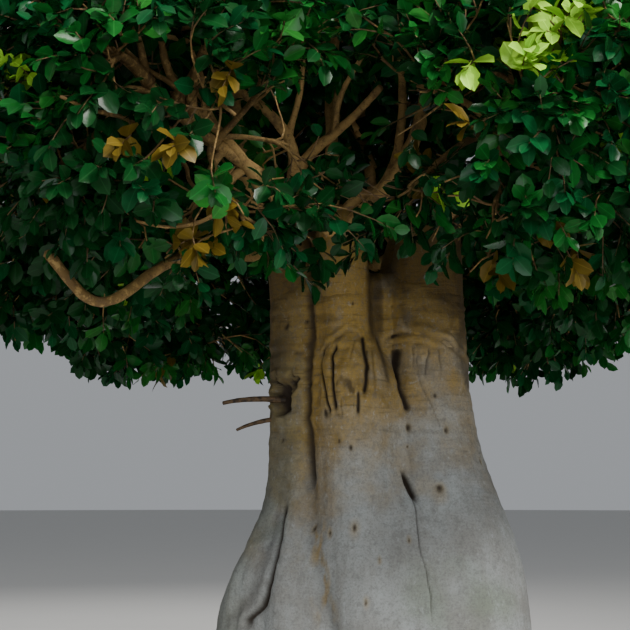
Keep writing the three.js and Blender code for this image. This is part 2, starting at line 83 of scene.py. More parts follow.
# Folds, grooves and cracks that run up the trunk: points as angle in degrees and height, then
# width, depth, how dark the bottom is with painted shade and dirt, and how far the ends run out.
# A negative depth stands out.
FURROWS = [
    ([(-154, 0.438), (-148, 0.462), (-145.5, 0.486), (-144.5, 0.518), (-145, 0.546), (-145.5, 0.586),
      (-146.5, 0.622), (-148, 0.650)], 0.0125, 0.013, 0.85, 0.024),
    ([(-163, 0.430), (-157, 0.462), (-154, 0.486), (-152, 0.518), (-151.5, 0.546), (-152, 0.586),
      (-152.5, 0.622), (-153, 0.646)], 0.024, 0.009, 0.40, 0.040),
    ([(-156, 0.080), (-158, 0.400), (-161, 0.500), (-163, 0.600)], 0.034, -0.014, 0.00, 0.060),
    ([(-63.7, 0.874), (-67.5, 0.918), (-68, 0.955), (-66.5, 0.991)], 0.0075, 0.014, 0.95, 0.012),
    ([(-80, 0.940), (-82.5, 1.016), (-87, 1.058), (-91, 1.101), (-91, 1.180)], 0.0100, 0.008, 0.60, 0.030),
    ([(64, 0.260), (58, 0.700)], 0.016, 0.034, 0.80, 0.060),
    ([(176, 0.240), (172, 0.620)], 0.016, 0.030, 0.80, 0.060),
    ([(-135, 0.741), (-138.5, 0.846), (-140, 0.955), (-139.5, 1.120)], 0.0140, 0.013, 0.74, 0.060),
    ([(-112, 0.400), (-123, 0.557), (-129.5, 0.637), (-135, 0.741)], 0.0180, 0.010, 0.30, 0.060),
    ([(118, 0.420), (112, 0.760), (108, 0.900)], 0.022, 0.012, 0.30, 0.080),
    ([(-65.7, 0.750), (-65, 0.850)], 0.006, 0.003, 0.25, 0.030),
    ([(-65, 0.470), (-65.8, 0.537), (-67.2, 0.587), (-66.5, 0.670)], 0.0022, 0.0035, 0.60, 0.030),
    ([(-50, 0.835), (-53, 0.880), (-56.5, 0.933), (-58, 0.975)], 0.0026, 0.003, 0.45, 0.012),
    ([(-53, 0.945), (-52, 0.990)], 0.0030, 0.005, 0.60, 0.010),
    ([(-46, 0.955), (-46.5, 0.990)], 0.0030, 0.004, 0.50, 0.010),
    ([(-59, 0.960), (-60, 1.000)], 0.0026, 0.004, 0.50, 0.008),
    ([(20, 0.300), (24, 0.620)], 0.004, 0.006, 0.80, 0.040),
    ([(150, 0.300), (146, 0.520)], 0.004, 0.006, 0.80, 0.030),
]
# Old air roots fused to the sides and the back: points as angle and height, then half width, how far
# they stand out and how far the ends run out.
ROPES = [
    ([(14, 0.000), (24, 0.300), (40, 0.700), (47, 1.120)], 0.017, 0.017, 0.060),
    ([(56, 0.000), (49, 0.250), (40, 0.560)], 0.015, 0.013, 0.080),
    ([(84, 0.000), (97, 0.350), (90, 0.700), (101, 1.120)], 0.017, 0.015, 0.060),
    ([(126, 0.000), (133, 0.420), (121, 0.860), (126, 1.120)], 0.017, 0.016, 0.060),
    ([(163, 0.000), (151, 0.300), (159, 0.640), (149, 0.980)], 0.018, 0.017, 0.060),
    ([(138, 0.380), (146, 0.560), (154, 0.700)], 0.013, 0.011, 0.050),
    ([(66, 0.300), (78, 0.520), (89, 0.690)], 0.014, 0.012, 0.050),
]
# Splits round the graft on the front stem, given as the furrows are.
SPLITS = [
    ([(-117.3, 0.867), (-121.2, 0.918), (-126, 0.966), (-125, 0.985)], 0.0042, 0.011, 1.00, 0.010),
    ([(-113, 0.874), (-114.6, 0.926), (-115.5, 0.980), (-114, 0.992)], 0.0045, 0.011, 1.00, 0.010),
    ([(-95.5, 0.905), (-93.7, 0.955), (-97.6, 1.013)], 0.0046, 0.013, 1.00, 0.010),
    ([(-99.2, 0.862), (-99.4, 0.895)], 0.0036, 0.008, 0.95, 0.008),
    ([(-104, 0.975), (-103, 1.000)], 0.0026, 0.003, 0.40, 0.010),
    ([(-89, 0.900), (-90, 0.985)], 0.0030, 0.004, 0.45, 0.014),
    ([(-108, 0.858), (-109, 0.884)], 0.0026, 0.004, 0.50, 0.006),
]
# Old ring scars across the stems: points as angle and height, then width and how far they stand out.
SCARS = [
    ([(-70, 1.136), (-55, 1.128), (-43, 1.134)], 0.0080, 0.0050),
    ([(-70, 1.095), (-57, 1.100), (-44, 1.098)], 0.0050, 0.0016),
    ([(-75, 1.034), (-66, 1.042), (-56, 1.038), (-43, 1.026), (-30, 0.995)], 0.0080, 0.0058),
    ([(-72, 1.012), (-60, 1.018), (-46, 1.006)], 0.0055, 0.0035),
    ([(-127, 0.992), (-118.5, 1.017), (-108.6, 1.038), (-101, 1.033), (-94, 1.012)], 0.0065, 0.0050),
    ([(-124, 1.012), (-112, 1.034), (-104, 1.050)], 0.0045, 0.0025),
    ([(-167, 1.012), (-150, 1.006), (-142, 1.004)], 0.0085, 0.0052),
    ([(-166, 0.952), (-150, 0.950), (-143, 0.952)], 0.0075, 0.0040),
    ([(-163, 1.085), (-143, 1.090)], 0.0060, 0.0025),
    ([(30, 1.040), (52, 1.048), (70, 1.030)], 0.0090, 0.0045),
    ([(112, 0.985), (140, 0.998)], 0.0090, 0.0040),
    ([(-20, 1.090), (5, 1.100)], 0.0080, 0.0035),
]
# Holes: angle, height, half width, half height, depth, lean in degrees, how ragged the rim is, stain.
HOLLOWS = [
    (-156, 0.897, 0.020, 0.027, 0.024, 0, 0.45, 1.0),
    (-66.8, 0.706, 0.0050, 0.028, 0.016, 16, 0.10, 0.0),
]
# Small dark pits and knots: angle, height, radius.
PITS = [
    (-64.6, 0.829, 0.006), (-103.3, 0.787, 0.004), (-47.6, 0.823, 0.005), (-101.2, 0.625, 0.005),
    (-115.8, 0.613, 0.005), (-54.5, 0.705, 0.005), (-51, 0.896, 0.004), (-153.9, 0.805, 0.005),
    (-128, 0.621, 0.004), (-88, 0.560, 0.003), (-30, 0.760, 0.005), (35, 0.840, 0.006),
    (95, 0.700, 0.005), (140, 0.880, 0.006), (160, 0.760, 0.005), (-95, 0.480, 0.003),
    (-153, 1.050, 0.011), (-143, 1.060, 0.005), (-120, 0.860, 0.004), (-66, 0.790, 0.003),
    (-104, 1.090, 0.003), (-98, 1.130, 0.003), (-110, 0.800, 0.0025), (-72, 0.600, 0.003),
]
# Where grooves between the stems are grown shut: angle and half width in degrees, heights, share.
# Elsewhere the least share holds. The mean radius is taken over so many columns to either side.
LEAST_SHUT = 0.15
MEAN_COLUMNS = 13
GROWN_SHUT = [
    (-156, 17, 0.05, 0.60, 0.97),
    (-122, 13, 0.20, 0.64, 0.95),
    (-135, 14, 0.62, 1.20, 0.92),
    (-74, 18, 0.20, 0.92, 0.95),
    (-80, 16, 0.90, 1.20, 0.22),
    (9, 16, 0.60, 1.20, 0.90),
    (171, 16, 0.68, 1.20, 0.85),
    (108, 14, 0.30, 0.60, 0.85),
]
# Stems and gaps whose bark is darker or greener: angle, half width in degrees, lowest and highest
# heights, painted shade with some dirt where the crown shades them, and green film.
SHADES = [
    (-165, 24, 0.62, 1.00, 0.43, 0.60),
    (-165, 24, 0.94, 1.60, 0.54, 0.22),
    (-178, 20, -0.20, 0.62, 0.36, 0.50),
    (-50, 27, 1.050, 1.60, 0.52, 0.12),
    (-25, 13, 0.950, 1.60, 0.60, 0.12),
    (-86, 9.5, 1.030, 1.60, 0.66, 0.00),
]
# The graft's callus on the front stem: angles, heights, how far it stands out, and the oval swelling
# on it as angle, height, half width, half height and how far that stands out.
GRAFT = {"angles": (-126, -86), "heights": (0.862, 1.012), "rise": 0.0035,
         "oval": (-107, 0.952, 0.013, 0.030, 0.006)}
# Relief of the bark in metres: swells, fibres, rings on smooth bark and what wear adds to them, grain,
# bands of wear, rough sides and back, and the fine and the broad swells of the foot.
BARK = {"swell": 0.0030, "fibre": 0.0010, "ring": (0.0004, 0.0014), "grain": 0.0011, "band": 0.0020,
        "back": 0.0035, "foot": (0.020, 0.022)}
# The seam left of the front stem: heights, angles and half width.
SEAM = {"heights": (0.40, 0.58, 0.80), "angles": (-112, -123, -131), "width": 0.020}
# The mesh of the trunk: columns round it and how much closer they lie at the front, rows up the wall,
# the share of the rows below a height, rows of the closing end and how far its middle rises.
TRUNK_MESH = {"columns": 440, "crowding": 0.40, "rows": 208, "lower": (0.42, 0.62), "closing": 13,
              "peak": 0.004}

# The separate stems' tops: the height where each starts in the body, its radius there as a share of the
# stem's, how long it keeps that, where its end starts to close and by how much, and how tan it is.
STEM_END = {"start": 1.000, "inset": 0.965, "hold": 2.2, "rounding": 0.84, "closing": 0.74, "tan": 0.5}
# Dead twigs at the left: root, middle, tip and radius at the root.
DEAD_TWIGS = [
    ((-0.180, -0.060, 0.893), (-0.262, -0.086, 0.900), (-0.318, -0.112, 0.884), 0.0075),
    ((-0.180, -0.055, 0.856), (-0.250, -0.070, 0.850), (-0.290, -0.086, 0.828), 0.0060),
]

# The crown, by the rule of its solids: x of its middle, the gap between masses, how far a mass fills
# out towards its neighbours and from which share of the way, how deep in the stems the boughs start,
# where they enter the masses, and the point from which the foliage opens.
CROWN_X = -0.060
CELL_MARGIN = 0.003
FILLING = 0.16
FILLING_FROM = 0.62
BOUGH_SINK = 0.055
ENTRY_SHARE = 0.82
CROWN_HEART = np.array((CROWN_X, 0.0, 1.150))
# Boughs: radius at the stem and the share of it at the tip, how steeply they leave the stem, the arms
# of their curve as shares of its span, and how far they arrive from below.
LOW_BOUGH = {"radius": 0.025, "taper": 0.56, "lift": 0.6, "leave": 0.40, "arrive": 0.35, "rising": 0.10}
HIGH_BOUGH = {"radius": 0.020, "taper": 0.65, "lift": 0.5, "leave": 0.42, "arrive": 0.36, "rising": 0.75}
LOW_RING = {
    "names": ("front_right", "right", "back_right", "back", "back_left", "left", "front_left"),
    "stems": ("right", "right", "back_right", "back_right", "back_left", "left", "front"),
    "front_angle": 62, "parting": 0.036, "reach": 0.650, "height": 1.350, "fall": 0.050,
    "size": (0.360, 0.400, 0.370),
}
HIGH_RING = {
    "names": ("front_right", "right", "back", "left", "front_left"),
    "stems": ("front", "right", "back_right", "back_left", "left"),
    "front_angle": 76, "parting": 0.022, "reach": 0.500, "height": 1.735, "fall": 0.0,
    "size": (0.375, 0.390, 0.330),
}
CROWN_TOP = {"height": 1.880, "size": (0.420, 0.420, 0.320), "stem": "back_left"}
# The low loop limb: its stem, the solid's radius, the bark's share of that at its root and at its tip,
# and the points it runs through.
LOOP = {
    "stem": "left", "radius": 0.015, "root": 0.76, "taper": 0.6,
    "points": ((-0.290, -0.235, 1.225), (-0.408, -0.430, 1.125), (-0.515, -0.560, 1.035),
               (-0.598, -0.592, 1.118)),
}

# Where sprays of one tint gather: centre, radius, and the share of shoots there that take it. They may
# lie so far behind the place.
BEHIND_PLACE = 0.30
FRESH_PLACES = [((0.266, -0.75, 1.475), 0.060, 0.95), ((0.214, -0.75, 1.468), 0.028, 0.80),
                ((0.130, -0.75, 1.375), 0.030, 0.90), ((-0.277, -0.75, 1.299), 0.028, 0.85),
                ((-0.631, -0.75, 1.396), 0.030, 0.60)]
OCHRE_PLACES = [((-0.375, -0.75, 1.239), 0.038, 0.90), ((-0.292, -0.75, 1.129), 0.048, 0.90),
                ((-0.340, -0.75, 1.163), 0.020, 0.90), ((-0.455, -0.75, 1.282), 0.018, 0.90),
                ((-0.283, -0.75, 1.394), 0.018, 0.90), ((0.046, -0.75, 1.239), 0.018, 0.90),
                ((0.305, -0.75, 1.059), 0.034, 0.80)]
# The window in the front foliage where limbs show: centre, half sizes, share of shoots kept.
WINDOW = {"centre": (-0.085, -0.60, 1.365), "half": (0.080, 0.50, 0.085), "kept": 0.25}
# Where the light falls in on the stems' tops: the reach in x and y, and the lowest shoots' tips there
# as a height and how fast it climbs towards the back.
STEMS_SHOW = {"x": (-0.250, 0.200), "y": (-0.80, -0.15), "from": 1.178, "climb": 0.172}
# The viewer's eye and, for the camera, half the picture and the focal length in pixels, and its turn
# up from straight down in degrees.
VIEWER = np.array((-0.122, -2.750, 0.703))
CAMERA = {"half": 315, "focal": 1237, "turn": 98}
# Limbs that show in the window and among the front leaves: points from a bough or stem, and radii.
FRONT_LIMBS = [
    (((-0.066, -0.140, 1.285), (-0.032, -0.155, 1.318), (0.017, -0.175, 1.338), (0.053, -0.190, 1.418),
      (0.063, -0.205, 1.541), (0.058, -0.235, 1.640)), 0.0125, 0.0075),
    (((-0.193, -0.050, 1.270), (-0.170, -0.110, 1.370), (-0.176, -0.150, 1.451), (-0.229, -0.200, 1.507),
      (-0.299, -0.260, 1.538), (-0.347, -0.320, 1.580)), 0.0150, 0.0080),
    (((-0.168, -0.115, 1.385), (-0.122, -0.150, 1.429), (-0.079, -0.190, 1.455), (-0.040, -0.240, 1.477),
      (0.010, -0.310, 1.515)), 0.0130, 0.0070),
    (((-0.075, -0.120, 1.270), (-0.110, -0.120, 1.348), (-0.094, -0.140, 1.414), (-0.080, -0.120, 1.505),
      (-0.070, -0.070, 1.620)), 0.0090, 0.0055),
    (((-0.215, -0.310, 1.280), (-0.277, -0.420, 1.353), (-0.331, -0.480, 1.399), (-0.374, -0.520, 1.441),
      (-0.399, -0.550, 1.488), (-0.406, -0.580, 1.539)), 0.0120, 0.0060),
    (((-0.331, -0.480, 1.399), (-0.330, -0.520, 1.450), (-0.345, -0.570, 1.500)), 0.0060, 0.0035),
    (((-0.374, -0.520, 1.441), (-0.430, -0.580, 1.460), (-0.480, -0.640, 1.500)), 0.0055, 0.0030),
    (((-0.079, -0.190, 1.455), (-0.069, -0.220, 1.523), (-0.034, -0.260, 1.581), (0.008, -0.300, 1.638)),
     0.0070, 0.0040),
    (((-0.180, -0.155, 1.463), (-0.159, -0.180, 1.522), (-0.148, -0.200, 1.587), (-0.145, -0.220, 1.660)),
     0.0075, 0.0050),
    (((-0.340, -0.560, 1.330), (-0.389, -0.680, 1.313), (-0.449, -0.760, 1.315), (-0.497, -0.800, 1.318),
      (-0.532, -0.830, 1.327)), 0.0055, 0.0026),
    (((-0.300, -0.500, 1.260), (-0.282, -0.600, 1.203), (-0.320, -0.660, 1.159), (-0.370, -0.680, 1.146),
      (-0.423, -0.700, 1.152)), 0.0050, 0.0024),
    (((-0.380, -0.560, 1.330), (-0.354, -0.600, 1.276), (-0.341, -0.640, 1.234), (-0.312, -0.660, 1.205),
      (-0.267, -0.640, 1.195)), 0.0048, 0.0024),
]
# Limbs that the shoots leave in sight: the front limb, how far off its line of sight a shoot's tip
# stays, and the shares of its length between which it shows. The loop and the high front right bough
# come after them. A shoot's middle stays off by a smaller share, a point counts as in front from a
# little behind a limb, and a few shoots stay in front all the same.
MIDDLE_SHARE = 0.85
BEHIND_LIMB = 0.02
LEFT_IN_FRONT = 0.10
IN_SIGHT = [(0, 0.052, 0.10, 0.88), (1, 0.034, 0.20, 0.75), (2, 0.050, 0.00, 0.58), (3, 0.030, 0.30, 0.80),
            (4, 0.036, 0.00, 0.75), (5, 0.036, 0.00, 0.75), (6, 0.036, 0.00, 0.75), (7, 0.040, 0.20, 0.95),
            (8, 0.034, 0.00, 0.75)]
# The same for single leaves, in front of the two limbs that show best.
CLEAR_OF_LEAVES = [(0, 0.020, 0.14, 0.52), (0, 0.018, 0.60, 0.85), (2, 0.022, 0.06, 0.56)]
LOOP_IN_SIGHT = {"clear": 0.036, "from": 0.45, "to": 0.85}
BOUGH_IN_SIGHT = {"clear": 0.052, "from": 0.15, "to": 0.85}
# Tips of twigs that hang in front of the stems' tops.
FRINGE = [
    (-0.212, -0.50, 1.153), (-0.184, -0.46, 1.140), (-0.157, -0.47, 1.145), (-0.132, -0.50, 1.163),
    (-0.110, -0.53, 1.248), (-0.084, -0.52, 1.260), (-0.050, -0.50, 1.223), (-0.026, -0.46, 1.166),
    (-0.006, -0.47, 1.171), (0.014, -0.50, 1.200), (0.040, -0.52, 1.205), (0.062, -0.53, 1.233),
    (0.090, -0.50, 1.208), (0.116, -0.46, 1.168), (0.146, -0.47, 1.165), (0.170, -0.50, 1.178),
    (-0.110, -0.60, 1.500), (-0.050, -0.66, 1.520), (0.000, -0.62, 1.510), (-0.080, -0.72, 1.500),
    (-0.020, -0.72, 1.490), (-0.140, -0.68, 1.480), (-0.095, -0.58, 1.188), (-0.065, -0.60, 1.195),
]
# Twigs that fill a notch between two low masses: distance out, drop below their centres, distance aside.
NOTCHES = [
    (-0.12, 0.225, 0.02), (-0.12, 0.225, -0.05), (0.00, 0.235, 0.05), (0.00, 0.240, -0.02),
    (0.10, 0.225, 0.02), (0.10, 0.215, -0.05), (0.18, 0.170, 0.03), (0.18, 0.160, -0.03),
    (-0.04, 0.180, 0.00), (0.06, 0.170, 0.00),
]
# How the masses fill: the share of its room that a limb and a twig reach, where twigs leave a limb,
# where the first shoot leaves a twig, and the share of its length that a shoot takes, each as the range
# of a random draw; and the chance of a twig by how full its way is and how far it faces outwards.
GROWTH = {"limb_reach": (0.62, 0.76), "twig_reach": (0.80, 1.02), "twig_from": (0.45, 1.0),
          "first_shoot": 0.38, "shoot": (0.65, 1.15),
          "by_share": ((0.60, 0.95, 1.0), (0.10, 0.65, 1.0)), "by_way": ((-0.6, -0.1), (0.60, 1.0))}
# Steps along and sides round each kind of limb, and the steps for the limbs' lines of sight.
STEPS = {"stem_tops": (70, 64), "dead_twigs": (30, 12), "boughs": (64, 18), "loop": (110, 16),
         "front_limbs": (48, 12), "stems": (14, 12), "limbs": (12, 8), "twigs": (7, 5), "shoots": (3, 3)}
SIGHT_STEPS = {"front_limbs": 24, "loop": 40, "bough": 12}
# Radii of what grows in the masses: at the root, how much that varies, and at the tip.
INNER_STEM = (0.0138, 0.0, 0.0138 * 0.62)
LIMB = (0.0062, 0.006, 0.0032)
TWIG = (0.0022, 0.0012, 0.0014)
SHOOT = (0.0015, 0.0, 0.0009)


class FicusSizes(bpy.types.PropertyGroup):
    """Sizes and counts of the tree."""

    relief: bpy.props.FloatProperty(
        name="Bark relief", description="How strongly the relief stands out", default=1.0, min=0, max=2)
    limbs: bpy.props.IntProperty(
        name="Limbs", description="Limbs in each mass of foliage", default=16, min=4, max=40)
    twigs: bpy.props.IntProperty(
        name="Twigs", description="Directions tried for twigs in each mass", default=210, min=20, max=500)
    shoots: bpy.props.IntProperty(
        name="Shoots", description="Leafy shoots on each twig", default=5, min=1, max=9)
    leaves: bpy.props.IntProperty(
        name="Leaves", description="Leaves on each shoot", default=7, min=2, max=12)
    leaf_length: bpy.props.FloatProperty(
        name="Leaf length", description="Length of a full-grown leaf", default=0.053, unit="LENGTH")
    leaf_width: bpy.props.FloatProperty(
        name="Leaf width", description="Width of a full-grown leaf", default=0.034, unit="LENGTH")
    shoot_length: bpy.props.FloatProperty(
        name="Shoot length", description="Length of a leafy shoot", default=0.080, unit="LENGTH")
    seed: bpy.props.IntProperty(name="Seed", description="Seed of everything that is random", default=101)


def colour_property(name, text, value):
    """A colour with no alpha."""
    return bpy.props.FloatVectorProperty(
        name=name, description=text, subtype="COLOR", size=3, default=value, min=0, max=1)


class FicusColours(bpy.types.PropertyGroup):
    """Base colours of the tree and the stage."""

    bark_pale: colour_property("Pale bark", "Grey bark of the lower trunk", (0.302, 0.322, 0.322))
    bark_grey: colour_property("Grey bark", "Darker mottling of the grey bark", (0.205, 0.203, 0.192))
    bark_tan: colour_property("Tan bark", "Bark of the stems above the graft", (0.295, 0.182, 0.026))
    # Dark bark is dirt, and also painted shade in grooves, holes, creases and on shaded stems.
    bark_dark: colour_property("Dark bark", "Dirt in the grooves and holes", (0.022, 0.014, 0.008))
    bark_green: colour_property("Green film", "Thin algae on the lower trunk", (0.17, 0.21, 0.145))
    limb_tan: colour_property("Limb bark", "Bark of the boughs", (0.145, 0.087, 0.026))
    # Pale limb bark is pale scales, and also painted light on the limbs near the trunk.
    limb_pale_and_lit: colour_property("Pale limb", "Limbs near the trunk", (0.40, 0.255, 0.090))
    limb_dark: colour_property("Limb shade", "Darker bands of the boughs", (0.10, 0.060, 0.028))
    twig: colour_property("Twig bark", "Bark of the young twigs", (0.17, 0.105, 0.045))
    leaf_deep: colour_property("Deep leaf", "Darkest leaves", (0.004, 0.040, 0.008))
    leaf_cool: colour_property("Cool leaf", "Dark bluish leaves", (0.004, 0.058, 0.015))
    leaf_mid: colour_property("Mid leaf", "Full green leaves", (0.008, 0.090, 0.013))
    leaf_warm: colour_property("Warm leaf", "Slightly yellow green leaves", (0.014, 0.110, 0.014))
    leaf_fresh: colour_property("Fresh leaf", "Young leaves at the tips", (0.30, 0.58, 0.045))
    leaf_ochre: colour_property("Old leaf", "Yellowed old leaves", (0.118, 0.080, 0.009))
    floor: colour_property("Floor", "Floor of the stage", (0.52, 0.515, 0.50))


def unit(vectors):
    """Vectors scaled to length one along the last axis."""
    return vectors / np.maximum(np.linalg.norm(vectors, axis=-1, keepdims=True), 1e-9)


def lattice_value(cell, seed):
    """A fixed random number from -1 to 1 for each whole-numbered lattice point."""
    mixed = cell.astype(np.int64) @ np.array((73856093, 19349663, 83492791)) + seed * 2654435761
    mixed = (mixed ^ (mixed >> 13)) * 1274126177 & 0x7FFFFFFF
    mixed = (mixed ^ (mixed >> 15)) * 668265263 & 0x7FFFFFFF
    return (mixed ^ (mixed >> 11)) % 65536 / 32767.5 - 1


def noise(points, size, seed, octaves=1):
    """Smooth random values: lattice values size apart, blended by the cubic 3t^2 - 2t^3 along each
    axis, summed over octaves of half the size and half the height."""
    total = np.zeros(points.shape[:-1])
    for octave in range(octaves):
        scaled = points / (np.asarray(size) / 2**octave)
        cell = np.floor(scaled)
        part = scaled - cell
        smooth = part * part * (3 - 2 * part)
        value = np.zeros(points.shape[:-1])
        for corner in np.ndindex(2, 2, 2):
            weight = np.prod(np.where(np.array(corner), smooth, 1 - smooth), axis=-1)
            value += weight * lattice_value(cell + np.array(corner), seed + octave)
        total += value / 2**octave
    return total


def s_curve(height, middle, run):
    """1 well below the middle height, 0 well above it: 1 / (1 + exp((height - middle) / run))."""
    return 1 / (1 + np.exp((height - middle) / run))


def ease(value, low, high):
    """0 below low, 1 above high, and the cubic 3t^2 - 2t^3 between them."""
    share = np.clip((value - low) / (high - low), 0, 1)
    return share * share * (3 - 2 * share)


def stem_at(stem, height):
    """Centre x, y and radius of a stem: foot and top mixed by the s-curve of its swell, plus toes of the
    roots, which run out upwards as exp(-height / TOE_HEIGHT)."""
    foot, top, swell, _ = STEMS[stem]
    share = s_curve(height, *swell)
    toe = np.exp(-height / TOE_HEIGHT)
    x, y, radius = (top[i] + (foot[i] - top[i]) * share for i in range(3))
    return x * (1 + TOE_SPREAD * toe), y * (1 + TOE_SPREAD * toe), radius + TOE_SWELL * toe


def body_radius(turn, height):
    """The soft maximum, by a power mean, of how far a ray from the axis goes before it leaves each stem."""
    total = (HEART["top"] + (HEART["foot"] - HEART["top"]) * s_curve(height, *HEART["swell"])) ** BLEND
    for stem in STEMS:
        x, y, radius = stem_at(stem, height)
        along = x * np.cos(turn) + y * np.sin(turn)
        inside = radius**2 - x**2 - y**2 + along**2
        leaves = np.where(inside > 0, along + np.sqrt(np.maximum(inside, 0)), 0)
        total = total + np.maximum(leaves, 0) ** BLEND
    return total ** (1 / BLEND)


def arc_to(turn, radius, degrees):
    """Distance along the bark from a line at the given angle, in metres."""
    off = turn - np.radians(degrees)
    return np.arctan2(np.sin(off), np.cos(off)) * radius


def furrow_profile(turn, height, radius, furrow):
    """A groove: a Gaussian of the distance to a line up the trunk, running out past its ends."""
    line, width, _, _, fade = furrow
    angles, heights = zip(*line)
    off = arc_to(turn, radius, np.interp(height, heights, angles))
    past = np.maximum(np.maximum(heights[0] - height, height - heights[-1]), 0)
    return np.exp(-((past / fade) ** 2) - (off / width) ** 2)


def scar_profile(turn, height, scar):
    """A ring scar: a Gaussian ridge along a line across the stem, which fades out 3 degrees past its
    ends, and another for the groove 1.6 widths under it."""
    line, width, _ = scar
    angles, heights = zip(*line)
    middle = np.radians(sum(angles) / len(angles))
    around = np.degrees(middle + np.arctan2(np.sin(turn - middle), np.cos(turn - middle)))
    past = np.maximum(np.maximum(angles[0] - around, around - angles[-1]), 0) / 3
    above = (height - np.interp(around, angles, heights)) / width
    fade = np.exp(-(past**2))
    return fade * np.exp(-(above**2)), fade * np.exp(-((above + 1.6) ** 2))


def hollow_profile(turn, height, radius, hollow):
    """Distance to the hole's middle, as a share of its half width and half height."""
    angle, level, wide, tall, _, lean, _, _ = hollow
    lean = np.radians(lean)
    off = arc_to(turn, radius, angle)
    up = height - level
    across = (off * np.cos(lean) + up * np.sin(lean)) / wide
    return np.hypot(across, (up * np.cos(lean) - off * np.sin(lean)) / tall)


def blurred(values, columns, rows):
    """Running mean over columns, which wrap round the trunk, and rows."""
    total = sum(np.roll(values, step, 1) for step in range(-columns, columns + 1)) / (2 * columns + 1)
    padded = np.pad(total, ((rows, rows), (0, 0)), mode="edge")
    return sum(padded[i : i + len(values)] for i in range(2 * rows + 1)) / (2 * rows + 1)


def grown_shut(turn, height, body):
    """The body with grooves between its stems drawn out towards the running mean of the radius,
    where they have grown shut: body + share * max(0, mean - body), done twice. The share fades out as
    exp(-off^4) round the trunk."""
    share = np.full_like(body, LEAST_SHUT)
    for angle, half, low, high, most in GROWN_SHUT:
        off = np.degrees(arc_to(turn, 1, angle)) / half
        inside = np.exp(-(off**4)) * ease(height, low - 0.05, low + 0.05)
        inside = inside * (1 - ease(height, high - 0.04, high + 0.04))
        share = np.maximum(share, most * inside)
    for _ in range(2):
        mean = blurred(blurred(body, MEAN_COLUMNS, 0), MEAN_COLUMNS, 0)
        body = body + share * np.maximum(mean - body, 0)
    return body


def shade_marks(turn, height):
    """Painted shade, with some dirt, and green film of the darker stems and gaps: each fades out as
    exp(-off^6) round the trunk and eases in and out over 40 mm at its lowest and highest height."""
    dirt_and_shade, film = np.zeros_like(height), np.zeros_like(height)
    for angle, half, low, high, dark, green in SHADES:
        inside = np.exp(-((arc_to(turn, 1, angle) / np.radians(half)) ** 6))
        inside = inside * ease(height, low - 0.02, low + 0.02)
        inside = inside * (1 - ease(height, high - 0.02, high + 0.02))
        dirt_and_shade, film = np.maximum(dirt_and_shade, dark * inside), np.maximum(film, green * inside)
    return dirt_and_shade, film


def graft_callus(turn, height, body, points):
    """Where the graft's callus lies, how far it stands out there and how much darker its folds are. It
    fades out past its angles and heights, its lower edge is ragged by noise, and it stands out by
    rise + knobs of noise + an oval Gaussian."""
    first, last = GRAFT["angles"]
    low, high = GRAFT["heights"]
    off = arc_to(turn, body, (first + last) / 2)
    half = np.radians(last - first) / 2 * body
    tongues = low + 0.020 * noise(points * (1, 1, 0), 0.022, 5, 2)
    held = ease(half - np.abs(off), -0.006, 0.012) * ease(height, tongues - 0.012, tongues + 0.018)
    held = held * (1 - ease(height, high - 0.010, high + 0.020))
    knobs = noise(points, (0.014, 0.014, 0.034), 8, 2)
    angle, level, wide, tall, rise = GRAFT["oval"]
    oval = np.exp(-((arc_to(turn, body, angle) / wide) ** 2) - ((height - level) / tall) ** 2)
    return held, GRAFT["rise"] + 0.0030 * knobs + rise * oval, held * ease(-knobs, 0.25, 0.8) * 0.6


